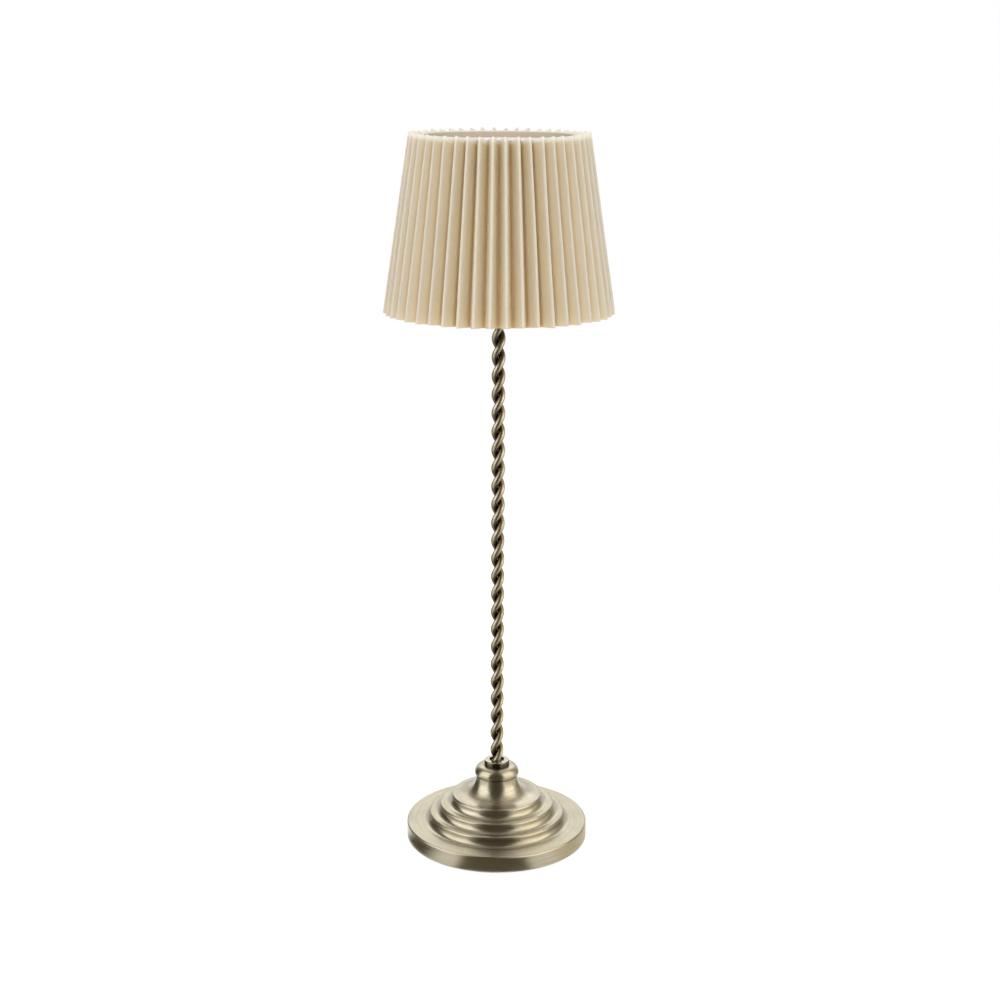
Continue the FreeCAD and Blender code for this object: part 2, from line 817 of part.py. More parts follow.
def pleat_face(crown_centre, valley_centre, crown_round, valley_round):
    """Crown arc, flanks and half valleys of one cloth face, each flank touching both arcs."""
    apart = valley_centre - crown_centre
    lean = math.atan2(apart.y, -apart.x)
    swing = math.asin((crown_round + valley_round) / apart.Length)
    facing = math.pi / 2 - lean - swing
    outward = FreeCAD.Vector(math.cos(facing), math.sin(facing), 0)
    shoulder = crown_centre + outward * crown_round
    foot = valley_centre - outward * valley_round
    root = valley_centre - FreeCAD.Vector(valley_centre).normalize() * valley_round
    return root, [
        arc_of(valley_centre, valley_round, root, foot),
        Part.LineSegment(foot, shoulder),
        arc_of(crown_centre, crown_round, mirrored(shoulder), shoulder),
        Part.LineSegment(mirrored(shoulder), mirrored(foot)),
        arc_of(mirrored(valley_centre), valley_round, mirrored(foot), mirrored(root)),
    ]


def pleat_section(body, name, crown, depth, height):
    """The level section of one pleat, from valley to valley, its crown on the X axis."""
    half_pitch = math.pi / PLEAT_COUNT
    crown_round = size.crown_round
    valley_round = size.valley_round
    cloth = size.cloth_thickness
    crown_ahead = crown - crown_round
    valley_ahead = (crown - depth + valley_round) * math.cos(half_pitch)
    valley_side = (crown - depth + valley_round) * math.sin(half_pitch)
    sketch = new_sketch(body, name, "XY_Plane", height)
    crown_centre = FreeCAD.Vector(crown_ahead.value, 0, 0)
    valley_centre = FreeCAD.Vector(valley_ahead.value, valley_side.value, 0)
    outer_root, outer = pleat_face(crown_centre, valley_centre,
                                   crown_round.value, valley_round.value)
    inner_root, inner = pleat_face(crown_centre, valley_centre,
                                   (crown_round - cloth).value, (valley_round + cloth).value)
    ends = [
        Part.LineSegment(outer_root, inner_root),
        Part.LineSegment(mirrored(outer_root), mirrored(inner_root)),
    ]
    sketch.addGeometry(outer + inner + ends, False)
    rays = [
        Part.LineSegment(FreeCAD.Vector(0, 0, 0), valley_centre),
        Part.LineSegment(FreeCAD.Vector(0, 0, 0), mirrored(valley_centre)),
    ]
    sketch.addGeometry(rays, True)
    inner_first = len(outer)
    upper_end = inner_first + len(inner)
    lower_end = upper_end + 1
    upper_ray = lower_end + 1
    lower_ray = upper_ray + 1
    rules, driven = [], []
    for first, crown_face, valley_face in (
        (0, crown_round, valley_round),
        (inner_first, crown_round - cloth, valley_round + cloth),
    ):
        upper, flank, top, back, lower = range(first, first + inner_first)
        rules += [
            Sketcher.Constraint("Tangent", upper, 2, flank, 1),
            Sketcher.Constraint("Tangent", flank, 2, top, 2),
            Sketcher.Constraint("Tangent", top, 1, back, 1),
            Sketcher.Constraint("Tangent", back, 2, lower, 1),
            Sketcher.Constraint("PointOnObject", top, 3, -1),
            Sketcher.Constraint("Coincident", upper, 3, upper_ray, 2),
            Sketcher.Constraint("Coincident", lower, 3, lower_ray, 2),
            Sketcher.Constraint("PointOnObject", upper, 1, upper_ray),
            Sketcher.Constraint("PointOnObject", lower, 2, lower_ray),
        ]
        for kind, edge, point, length in (
            ("DistanceX", top, 3, crown_ahead),
            ("Radius", top, None, crown_face),
            ("Radius", upper, None, valley_face),
            ("Radius", lower, None, valley_face),
        ):
            driven.append((len(rules), length))
            if kind == "Radius":
                rules.append(Sketcher.Constraint(kind, edge, length.value))
            else:
                rules.append(Sketcher.Constraint(kind, -1, 1, edge, point, length.value))
    rules += [
        Sketcher.Constraint("Coincident", upper_end, 1, 0, 1),
        Sketcher.Constraint("Coincident", upper_end, 2, inner_first, 1),
        Sketcher.Constraint("Coincident", lower_end, 1, inner_first - 1, 2),
        Sketcher.Constraint("Coincident", lower_end, 2, upper_end - 1, 2),
        Sketcher.Constraint("Coincident", upper_ray, 1, -1, 1),
        Sketcher.Constraint("Coincident", lower_ray, 1, -1, 1),
    ]
    for ray, side in ((upper_ray, valley_side), (lower_ray, ZERO - valley_side)):
        for kind, length in (("DistanceX", valley_ahead), ("DistanceY", side)):
            driven.append((len(rules), length))
            rules.append(Sketcher.Constraint(kind, -1, 1, ray, 2, length.value))
    sketch.addConstraint(rules)
    for index, length in driven:
        sketch.setExpression(f"Constraints[{index}]", length.text)
    return sketch


def trim_pleats(body, name, crown, depth, height, drop, rise):
    """Cuts the cloth's edge on the slope from the crowns' height down to the valleys'."""
    slope = drop / depth
    inner = crown - depth - size.cloth_thickness - size.overrun
    outer = crown + size.overrun
    inner_height = height - slope * (crown - inner)
    outer_height = height + slope * size.overrun
    far = height + rise
    corners = [
        corner(inner, inner_height),
        corner(outer, outer_height),
        corner(outer, far),
        corner(inner, far),
    ]
    revolve(body, draw(new_sketch(body, name), corners), "Groove")


def shade_pleats():
    body = new_body("shade_pleats")
    start = ZERO - size.edge_drop_low - size.overrun
    low = pleat_section(body, "pleat_low",
                        tapered(size.crown_low_radius, size.crown_high_radius, start),
                        tapered(size.pleat_low_depth, size.pleat_high_depth, start), start)
    high = pleat_section(body, "pleat_high", size.crown_high_radius, size.pleat_high_depth,
                         size.shade_height)
    pleat = body.newObject("PartDesign::AdditiveLoft", "pleat")
    pleat.Profile = low
    pleat.Sections = [high]
    pleat.Ruled = True
    body.Tip = pleat
    spin_pattern(body, pleat, PLEAT_COUNT)
    trim_pleats(body, "shade_top_edge", size.crown_high_radius, size.pleat_high_depth,
                size.shade_height, size.edge_drop_high, size.overrun)
    trim_pleats(body, "shade_low_edge", size.crown_low_radius, size.pleat_low_depth,
                ZERO, size.edge_drop_low, ZERO - size.edge_drop_low - size.overrun * 2)
    keep(body, "shade_pleats", shade_low, CROWN_BEARING)


# Tealight: a plastic case with a flame lens, a cell, a lamp board and a screwed base plate,
# drawn up from the floor of the cup
plate_low = size.plate_recess
plate_top = plate_low + size.plate_thickness
case_radius = size.cup_bore_radius - size.case_clearance
cap_radius = size.cell_radius + size.cap_margin
holder_height = size.cell_lift + size.cell_height + size.spring_room
case_ceiling = size.case_height - size.case_pool_drop - size.case_pool_slope - size.case_wall
cell_low = plate_top + size.cell_lift
board_low = plate_top + holder_height
board_top = board_low + size.board_thickness
cell_axis = ZERO - size.cell_offset
port_radius = cap_radius + size.cap_clearance
holder_radius = port_radius + size.holder_gap


def tealight_case():
    body = new_body("tealight_case")
    inner = case_radius - size.case_wall
    rim = case_radius - size.case_rim_width
    round_off = size.case_rim_round
    pool = size.case_height - size.case_pool_drop
    revolve(body, draw(new_sketch(body, "case_outline"), [
        corner(inner, ZERO),
        corner(case_radius, ZERO),
        corner(case_radius, size.case_height - round_off, round_off, 1),
        corner(case_radius - round_off, size.case_height),
        corner(rim, size.case_height),
        corner(rim - size.case_pool_drop, pool),
        corner(size.lens_hole_radius, pool - size.case_pool_slope),
        corner(size.lens_hole_radius, case_ceiling),
        corner(inner, case_ceiling),
    ]))
    posts = new_sketch(body, "case_posts", "XY_Plane", plate_top)
    holes = new_sketch(body, "case_post_holes", "XY_Plane", plate_top)
    for side in (size.boss_y, ZERO - size.boss_y):
        circle_at(posts, size.boss_x, side, size.boss_radius)
        circle_at(holes, size.boss_x, side, size.plate_screw_radius + size.plate_clearance)
    extrude(body, posts, case_ceiling + size.case_wall / 2 - plate_top)
    extrude(body, holes, size.boss_hole_depth, "Pocket", True)
    keep(body, "tealight_case", cup_floor)


def tealight_plate():
    body = new_body("tealight_plate")
    disc = new_sketch(body, "plate_outline", "XY_Plane", plate_low)
    circle_at(disc, ZERO, ZERO, case_radius - size.case_wall - size.plate_clearance)
    circle_at(disc, cell_axis, ZERO, port_radius)
    for side in (size.boss_y, ZERO - size.boss_y):
        circle_at(disc, size.boss_x, side, size.plate_screw_radius + size.plate_clearance)
    gap = size.switch_clearance * 2
    rectangle_at(disc, size.switch_x, ZERO, size.switch_neck_width + gap,
                 size.switch_neck_length + size.switch_travel + gap)
    extrude(body, disc, size.plate_thickness)
    holder = new_sketch(body, "cell_holder", "XY_Plane", plate_top)
    circle_at(holder, cell_axis, ZERO, holder_radius)
    circle_at(holder, cell_axis, ZERO, holder_radius + size.holder_wall)
    extrude(body, holder, holder_height)
    keep(body, "tealight_plate", cup_floor)
    body = new_body("plate_screws")
    heads = new_sketch(body, "screw_heads", "XY_Plane", plate_low)
    shanks = new_sketch(body, "screw_shanks", "XY_Plane", plate_low)
    for side in (size.boss_y, ZERO - size.boss_y):
        circle_at(heads, size.boss_x, side, size.plate_screw_head_radius)
        circle_at(shanks, size.boss_x, side, size.plate_screw_radius)
    extrude(body, heads, size.plate_screw_head_height, reverse=True)
    extrude(body, shanks, size.plate_screw_length)
    keep(body, "plate_screws", cup_floor)


def tealight_cell():
    body = new_body("battery_cap")
    disc = new_sketch(body, "cap_outline", "XY_Plane", plate_low)
    circle_at(disc, ZERO, ZERO, cap_radius)
    extrude(body, disc, size.plate_thickness)
    slot = new_sketch(body, "cap_coin_slot", "XY_Plane", plate_low)
    rectangle_at(slot, ZERO, ZERO, size.cap_slot_length, size.cap_slot_width)
    extrude(body, slot, size.cap_slot_depth, "Pocket", True)
    keep(body, "battery_cap", cup_floor, across=cell_axis)
    step = size.cell_step
    turned("coin_cell", [
        corner(ZERO, cell_low),
        corner(size.cell_radius - step, cell_low, step, 1),
        corner(size.cell_radius, cell_low + step),
        corner(size.cell_radius, cell_low + size.cell_height - step * 2),
        corner(size.cell_radius - step * 4, cell_low + size.cell_height - step * 2),
        corner(size.cell_radius - step * 4, cell_low + size.cell_height),
        corner(ZERO, cell_low + size.cell_height),
    ], cup_floor, cell_axis)


def tealight_contacts():
    cell_top = cell_low + size.cell_height
    thickness = size.contact_thickness
    reach = size.contact_reach
    foot_end = size.contact_foot - reach
    for name, corners in (
        ("cell_spring", [
            corner(ZERO - reach, board_low - thickness),
            corner(foot_end, board_low - thickness),
            corner(reach, cell_top),
            corner(reach, cell_top + thickness),
            corner(foot_end, board_low),
            corner(ZERO - reach, board_low),
        ]),
        ("cell_side_contact", [
            corner(ZERO - size.cell_radius - size.plate_clearance - thickness, cell_low),
            corner(ZERO - size.cell_radius - size.plate_clearance, cell_low),
            corner(ZERO - size.cell_radius - size.plate_clearance, board_low),
            corner(ZERO - size.cell_radius - size.plate_clearance - thickness, board_low),
        ]),
    ):
        body = new_body(name)
        strip = extrude(body, draw(new_sketch(body, name + "_outline"), corners),
                        size.contact_width)
        strip.Midplane = True
        keep(body, name, cup_floor, across=cell_axis)


def tealight_light():
    turned("led_board", [
        corner(ZERO, board_low),
        corner(holder_radius + size.holder_wall, board_low),
        corner(holder_radius + size.holder_wall, board_top),
        corner(ZERO, board_top),
    ], cup_floor, cell_axis)
    dome = board_top + size.led_height - size.led_radius
    turned("led", [
        corner(ZERO, board_top),
        corner(size.led_flange_radius, board_top),
        corner(size.led_flange_radius, board_top + size.led_flange_height),
        corner(size.led_radius, board_top + size.led_flange_height),
        corner(size.led_radius, dome, size.led_radius, 1),
        corner(ZERO, dome + size.led_radius),
    ], cup_floor)
    flange_low = case_ceiling - size.lens_flange_height
    neck = size.lens_hole_radius - size.lens_clearance
    shoulder = case_ceiling + size.lens_neck_height
    bore = size.led_flange_radius + size.lens_bore_clearance
    tip = shoulder + size.lens_flame_height
    turned("flame_lens", [
        corner(bore, flange_low),
        corner(size.lens_flange_radius, flange_low),
        corner(size.lens_flange_radius, case_ceiling),
        corner(neck, case_ceiling),
        corner(neck, shoulder, size.lens_flank_round, 1),
        corner(size.lens_tip_radius, tip),
        corner(ZERO, tip + size.lens_tip_radius),
        corner(ZERO, flange_low + size.lens_bore_depth),
        corner(bore, flange_low + size.lens_bore_depth),
    ], cup_floor)


def tealight_switch():
    body = new_body("power_switch")
    rest = ZERO - size.switch_travel / 2
    neck = new_sketch(body, "switch_neck", "XY_Plane", plate_low - size.switch_nub_drop)
    rectangle_at(neck, size.switch_x, rest, size.switch_neck_width, size.switch_neck_length)
    extrude(body, neck, size.switch_nub_drop + size.plate_thickness)
    flange = new_sketch(body, "switch_flange", "XY_Plane", plate_top)
    rectangle_at(flange, size.switch_x, rest, size.switch_flange_width,
                 size.switch_flange_length)
    extrude(body, flange, size.switch_flange_height)
    keep(body, "power_switch", cup_floor)


base_shell()
base_fill()
base_fasteners()
strand("stem_strand_front", STRAND_BEARING)
strand("stem_strand_back", STRAND_BEARING + FULL_TURN / 2)
stem_ends()
candle_cup()
carrier()
shade_frame()
shade_liner()
shade_pleats()
tealight_case()
tealight_plate()
tealight_cell()
tealight_contacts()
tealight_light()
tealight_switch()

doc.recompute()

os.makedirs("parts", exist_ok=True)
failed = [item.Label for item in doc.Objects if {"Invalid", "Error"} & set(item.State)]
if failed:
    raise RuntimeError("features that failed: " + ", ".join(failed))
for piece in parts:
    shape = piece.Shape
    if shape.isNull() or not shape.isValid():
        raise RuntimeError(piece.Label + " has no valid shape")
for piece in parts:
    shape = piece.Shape
    shape.exportStep(os.path.join("parts", piece.Label + ".step"))
    print(piece.Label, len(shape.Solids), round(shape.Volume, 1))
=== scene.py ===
"""Candle lamp with a pleated shade: cloth, finishes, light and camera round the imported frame."""

import logging
import math
from bisect import bisect_left
from dataclasses import dataclass, field
from enum import Enum
from itertools import accumulate
from random import Random

import bmesh
import bpy
from mathutils import Matrix, Vector, noise


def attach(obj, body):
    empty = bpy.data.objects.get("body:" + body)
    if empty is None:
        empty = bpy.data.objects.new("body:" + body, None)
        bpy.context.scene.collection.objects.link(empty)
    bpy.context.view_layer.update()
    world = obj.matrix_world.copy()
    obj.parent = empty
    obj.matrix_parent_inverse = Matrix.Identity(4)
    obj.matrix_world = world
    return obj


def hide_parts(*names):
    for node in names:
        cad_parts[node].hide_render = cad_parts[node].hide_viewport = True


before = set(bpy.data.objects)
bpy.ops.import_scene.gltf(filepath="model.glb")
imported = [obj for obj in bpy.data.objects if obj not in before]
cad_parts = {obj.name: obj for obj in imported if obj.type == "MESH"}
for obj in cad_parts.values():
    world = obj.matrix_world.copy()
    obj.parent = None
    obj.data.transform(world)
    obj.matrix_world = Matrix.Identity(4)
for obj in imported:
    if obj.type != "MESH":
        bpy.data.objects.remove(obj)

LOG = logging.getLogger("candle_lamp")
MM = 0.001
FULL_TURN = 2 * math.pi
WHITE = (1.0, 1.0, 1.0, 1.0)
# Soft noise lies mostly within the first of these ranges, and the second is its middle.
MOST_NOISE = (0.3, 0.7)
MID_NOISE = (0.35, 0.65)
Feed = float | tuple[float, ...] | bpy.types.NodeSocket


class Slot(Enum):
    """Material slots of the record."""

    BRUSHED = "brass_brushed"
    ANTIQUE = "brass_antique"
    COLLAR = "collar_polished"
    STEEL = "steel_plain"
    IRON = "iron_weight"
    FELT = "felt_pad"
    CLOTH = "shade_cloth"
    LINING = "shade_lining"
    TAPE = "binding_tape"
    WIRE = "ring_wire"
    WAX = "wax_plastic"
    FLAME = "flame_plastic"
    BOARD = "board_green"
    EPOXY = "led_epoxy"
    CELL = "cell_steel"
    CONTACT = "contact_metal"
    SWITCH = "switch_black"


class Body(Enum):
    """Moving bodies that a new piece can ride on."""

    LAMP = "lamp"
    SHADE = "shade"


def paint(red: int, green: int, blue: int) -> tuple[float, float, float, float]:
    """Linear colour of a paint written as 0 to 255 screen values.

    Args:
        red: Red as seen on screen.
        green: Green as seen on screen.
        blue: Blue as seen on screen.

    Returns:
        The linear colour with full alpha.
    """
    def linear(value: int) -> float:
        """One channel in linear light."""
        share = value / 255
        return share / 12.92 if share <= 0.04045 else ((share + 0.055) / 1.055) ** 2.4

    return linear(red), linear(green), linear(blue), 1.0


@dataclass
class Board:
    """A shader tree on which nodes are placed and joined."""

    tree: bpy.types.NodeTree

    def place(self, kind: str, **settings: object) -> bpy.types.Node:
        """Adds a node.

        Args:
            kind: The node's type, without the ShaderNode before it.
            settings: The node's own settings, by name.

        Returns:
            The node.
        """
        node = self.tree.nodes.new("ShaderNode" + kind)
        for name, value in settings.items():
            setattr(node, name, value)
        return node

    def feed(self, node: bpy.types.Node, values: dict[str | int, Feed]) -> bpy.types.Node:
        """Joins outputs to a node's sockets, or writes constants on them.

        Args:
            node: The node that is fed.
            values: An output or a constant for each socket, by its name or number.

        Returns:
            The same node.
        """
        for socket, value in values.items():
            if isinstance(value, bpy.types.NodeSocket):
                self.tree.links.new(value, node.inputs[socket])
            else:
                node.inputs[socket].default_value = value
        return node

    def run(self, kind: str, values: dict[str | int, Feed], output: int = 0,
            **settings: object) -> bpy.types.NodeSocket:
        """Places a node, feeds it and gives one of its outputs."""
        return self.feed(self.place(kind, **settings), values).outputs[output]

    def effect(self, name: str, **values: Feed) -> dict[str, bpy.types.NodeSocket]:
        """Places a shared effect with a finish's own values and gives its outputs by name."""
        placed = self.feed(self.place("Group", node_tree=EFFECTS[name]), values)
        return dict(placed.outputs.items())

    def math(self, operation: str, *values: Feed) -> bpy.types.NodeSocket:
        """Works an operation on the values that it takes."""
        return self.run("Math", dict(enumerate(values)), operation=operation)

    def plus(self, first: Feed, second: Feed) -> bpy.types.NodeSocket:
        """Two values added."""
        return self.math("ADD", first, second)

    def times(self, first: Feed, second: Feed) -> bpy.types.NodeSocket:
        """Two values multiplied."""
        return self.math("MULTIPLY", first, second)

    def blend(self, share: Feed, low: Feed, high: Feed) -> bpy.types.NodeSocket:
        """Mixes two colours, on the Mix node's colour sockets 6, 7 and 2, by a share."""
        return self.run("Mix", {0: share, 6: low, 7: high}, output=2, data_type="RGBA")

    def layered(self, share: Feed, under: Feed, over: Feed) -> bpy.types.NodeSocket:
        """Mixes two shaders by a share."""
        return self.run("MixShader", {0: share, 1: under, 2: over})

    def span(self, value: Feed, low: Feed, high: Feed, to_low: Feed = 0.0,
             to_high: Feed = 1.0) -> bpy.types.NodeSocket:
        """Maps a range of values smoothly onto another."""
        return self.run("MapRange", dict(enumerate((value, low, high, to_low, to_high))),
                        interpolation_type="SMOOTHSTEP")

    def between(self, share: Feed, low: Feed, high: Feed) -> bpy.types.NodeSocket:
        """A value from low to high by a share of 0 to 1."""
        return self.span(share, 0.0, 1.0, low, high)

    def clouds(self, vector: Feed, scale: Feed, detail: float = 3.0,
               rough: float = 0.5) -> bpy.types.NodeSocket:
        """Soft random values in space."""
        return self.run("TexNoise", {"Vector": vector, "Scale": scale, "Detail": detail,
                                     "Roughness": rough})

    def bump(self, height: Feed, strength: float, depth: float) -> bpy.types.NodeSocket:
        """A normal pushed about by a height."""
        return self.run("Bump", {"Height": height, "Strength": strength, "Distance": depth})

    def split(self, vector: Feed) -> tuple[bpy.types.NodeSocket, ...]:
        """The three parts of a vector."""
        return tuple(self.feed(self.place("SeparateXYZ"), {0: vector}).outputs)

    def join(self, across: Feed, along: Feed, up: Feed = 0.0) -> bpy.types.NodeSocket:
        """A vector of three values."""
        return self.run("CombineXYZ", {0: across, 1: along, 2: up})

    def spot(self) -> bpy.types.NodeSocket:
        """The place on the object, in metres."""
        return self.place("TexCoord").outputs["Object"]

    def cloth_map(self) -> tuple[bpy.types.NodeSocket, ...]:
        """The place across and along the unfolded cloth, in metres."""
        return self.split(self.place("UVMap", uv_map="cloth").outputs[0])[:2]

    def reach(self, x: Feed, y: Feed) -> bpy.types.NodeSocket:
        """Distance from the upright axis."""
        return self.math("SQRT", self.plus(self.times(x, x), self.times(y, y)))


def fresh_board(owner: bpy.types.Material | bpy.types.World) -> Board:
    """Empties the shader tree of a material or of the world.

    Args:
        owner: The material or the world.

    Returns:
        A board on its tree.
    """
    owner.use_nodes = True
    owner.node_tree.nodes.clear()
    return Board(owner.node_tree)


def effect_tree(name: str, inputs: tuple[str, ...], outputs: tuple[str, ...]
                ) -> tuple[Board, bpy.types.Node, bpy.types.Node]:
    """Starts a shared effect.

    Args:
        name: Name of the node group.
        inputs: Names of its number inputs.
        outputs: Names of its number outputs.

    Returns:
        The board of the group, its input node and its output node.
    """
    tree = bpy.data.node_groups.new(name, "ShaderNodeTree")
    for labels, side in ((inputs, "INPUT"), (outputs, "OUTPUT")):
        for label in labels:
            tree.interface.new_socket(label, in_out=side, socket_type="NodeSocketFloat")
    return Board(tree), tree.nodes.new("NodeGroupInput"), tree.nodes.new("NodeGroupOutput")


def lathe_lines() -> bpy.types.NodeTree:
    """Fine rings that a lathe and a brush leave round the upright axis, a little broken.

    Returns:
        The effect, with the fine lines and the coarser ones among them.
    """
    least_radius = 0.01 * MM
    faint, strong = 0.32, 0.68
    board, given, made = effect_tree("lathe_lines", ("Density", "Breaks"), ("Lines", "Coarse"))
    x, y, z = board.split(board.spot())
    radius = board.reach(x, y)
    safe = board.math("MAXIMUM", radius, least_radius)
    side, front = (board.times(board.math("DIVIDE", part, safe), given.outputs["Breaks"])
                   for part in (x, y))
    for label, density_share in (("Lines", 1.0), ("Coarse", 0.16)):
        density = board.times(given.outputs["Density"], density_share)
        place = board.join(board.times(radius, density), board.times(z, density), side)
        ring = board.run("TexNoise", {"Vector": place, "W": front, "Scale": 1.0,
                                      "Detail": 2.0}, noise_dimensions="4D")
        board.feed(made, {label: board.span(ring, faint, strong)})
    return board.tree


def tarnish() -> bpy.types.NodeTree:
    """Soft patches of tarnish and much finer specks of handling.

    Returns:
        The effect, with the patches and the specks.
    """
    specks_finer = 22.0
    speck_edge, speck_full = 0.58, 0.74
    board, given, made = effect_tree("tarnish", ("Scale", "Low", "High"),
                                     ("Patches", "Specks"))
    place = board.spot()
    scale, low, high = (given.outputs[name] for name in ("Scale", "Low", "High"))
    patches = board.clouds(place, scale, detail=4.0, rough=0.6)
    fine = board.clouds(place, board.times(scale, specks_finer), detail=2.0)
    board.feed(made, {"Patches": board.span(patches, low, high),
                      "Specks": board.span(fine, speck_edge, speck_full)})
    return board.tree


def weave() -> bpy.types.NodeTree:
    """Plain weave that follows the cloth's own map, which is in metres, with uneven yarn.

    Returns:
        The effect, with the height of the yarns, their evenness and their fuzz.
    """
    drift_scale, sway_share, edge = 900.0, 0.8, 0.35
    along_yarn, fuzz_scale, other_yarns = 40.0, 9000.0, 3.0
    board, given, made = effect_tree("weave", ("Pitch", "Slub"), ("Height", "Yarn", "Fuzz"))
    across, along = board.cloth_map()
    spot = board.join(across, along)
    pitch, slub = given.outputs["Pitch"], given.outputs["Slub"]
    drift = board.clouds(spot, drift_scale, detail=2.0)
    sway = board.times(board.math("SUBTRACT", drift, 0.5), board.times(pitch, sway_share))
    turns = board.math("DIVIDE", math.pi, pitch)
    warp, weft = (board.math("SINE", board.times(board.plus(way, sway), turns))
                  for way in (across, along))
    over = board.span(board.times(warp, weft), -edge, edge)
    under = board.math("SUBTRACT", 1.0, over)
    upright = board.join(board.times(across, slub), board.times(along, along_yarn))
    level = board.join(board.times(across, along_yarn), board.times(along, slub), other_yarns)
    board.feed(made, {
        "Height": board.plus(board.times(board.math("ABSOLUTE", warp), over),
                             board.times(board.math("ABSOLUTE", weft), under)),
        "Yarn": board.times(board.plus(board.clouds(upright, scale=1.0),
                                       board.clouds(level, scale=1.0)), 0.5),
        "Fuzz": board.clouds(spot, fuzz_scale, rough=0.7)})
    return board.tree


EFFECTS = {tree.name: tree for tree in (lathe_lines(), tarnish(), weave())}


@dataclass(frozen=True)
class Finish:
    """A finish of the lamp: its record slot, its node material and a name where two share it."""

    slot: Slot
    label: str = field(default="", kw_only=True)

    def material(self) -> bpy.types.Material:
        """The node material of this finish, made once.

        Returns:
            The material.
        """
        name = (self.label or self.slot.value) + "_finish"
        if name in bpy.data.materials:
            return bpy.data.materials[name]
        made = bpy.data.materials.new(name)
        board = fresh_board(made)
        surface = self.dress(board, board.place("BsdfPrincipled"))
        board.feed(board.place("OutputMaterial"), {"Surface": surface})
        return made

    def dress(self, board: Board, shader: bpy.types.Node) -> bpy.types.NodeSocket:
        """Sets the shader and gives the surface socket."""
        raise NotImplementedError


@dataclass(frozen=True)
class LatheBrass(Finish):
    """Antique brass brushed round on a lathe under a thin clear lacquer."""

    light: tuple[float, ...] = paint(175, 168, 149)
    dark: tuple[float, ...] = paint(157, 149, 126)
    stain: tuple[float, ...] = paint(118, 106, 77)
    stain_share: float = 0.18
    lines_per_metre: float = 4200.0
    breaks: float = 2.4
    line_depth: float = 0.02 * MM
    smooth: float = 0.27
    rough: float = 0.33
    stain_rough: float = 0.04

    def dress(self, board: Board, shader: bpy.types.Node) -> bpy.types.NodeSocket:
        """Rings, patches and an anisotropic gloss that stretches across the brushing.

        Args:
            board: The material's board.
            shader: Its main shader.

        Returns:
            The surface.
        """
        rings = board.effect("lathe_lines", Density=self.lines_per_metre, Breaks=self.breaks)
        stains = board.effect("tarnish", Scale=55.0, Low=0.42, High=0.75)["Patches"]
        tone = board.blend(rings["Lines"], self.dark, self.light)
        return board.feed(shader, {
            "Base Color": board.blend(board.times(stains, self.stain_share), tone, self.stain),
            "Metallic": 1.0,
            "Roughness": board.plus(
                board.between(rings["Coarse"], self.smooth, self.rough),
                board.times(stains, self.stain_rough)),
            "Anisotropic": 0.75,
            "Anisotropic Rotation": 0.25,
            "Tangent": board.place("Tangent", direction_type="RADIAL", axis="Z").outputs[0],
            "Coat Weight": 0.12,
            "Coat Roughness": 0.25,
            "Normal": board.bump(rings["Lines"], strength=0.12,
                                 depth=self.line_depth)}).outputs[0]


@dataclass(frozen=True)
class TwistedBrass(Finish):
    """Antique brass rods: rubbed bright on the outside of the twist, with patina and painted shade
    near black between.

    The lead, the span of the patina and painted shade, and the crest are lengths from the twist's
    axis or along it.
    """

    bright: tuple[float, ...] = paint(176, 166, 144)
    body: tuple[float, ...] = paint(116, 101, 76)
    patina_and_shade: tuple[float, ...] = paint(38, 31, 22)
    lead: float = 20.07 * MM
    patina_and_shade_span: tuple[float, float] = (0.9 * MM, 2.6 * MM)
    crest: tuple[float, float] = (2.7 * MM, 3.65 * MM)
    uneven: float = 0.6 * MM
    worn_share: float = 0.72
    lines_across: float = 6500.0
    lines_along: float = 130.0
    line_depth: float = 0.03 * MM
    rough: float = 0.42
    smooth: float = 0.34

    def dress(self, board: Board, shader: bpy.types.Node) -> bpy.types.NodeSocket:
        """Patina and painted shade by distance from the twist's axis, and drawn lines along the
        rods.

        Args:
            board: The material's board.
            shader: Its main shader.

        Returns:
            The surface.
        """
        place = board.spot()
        x, y, z = board.split(place)
        unwound = board.run("VectorRotate", {
            "Vector": place, "Angle": board.times(z, -FULL_TURN / self.lead)},
            rotation_type="Z_AXIS")
        across, along, _ = board.split(unwound)
        drawn = board.clouds(board.join(board.times(across, self.lines_across),
                                        board.times(along, self.lines_across),
                                        board.times(z, self.lines_along)),
                             scale=1.0, detail=2.0)
        worn = board.effect("tarnish", Scale=140.0, Low=0.35, High=0.7)["Patches"]
        reach = board.plus(board.reach(x, y), board.times(board.math("SUBTRACT", drawn, 0.5),
                                                          self.uneven))
        crest = board.times(board.span(reach, *self.crest),
                            board.between(worn, 1.0, self.worn_share))
        rubbed = board.blend(crest, self.body, self.bright)
        return board.feed(shader, {
            # Near black towards the twist's axis: real patina in the grooves, plus painted shade
            # where the rods hide each other.
            "Base Color": board.blend(board.span(reach, *self.patina_and_shade_span), self.patina_and_shade, rubbed),
            "Metallic": 1.0,
            "Roughness": board.between(crest, self.rough, self.smooth),
            "Coat Weight": 0.15,
            "Coat Roughness": 0.15,
            "Normal": board.bump(drawn, strength=0.15, depth=self.line_depth)}).outputs[0]


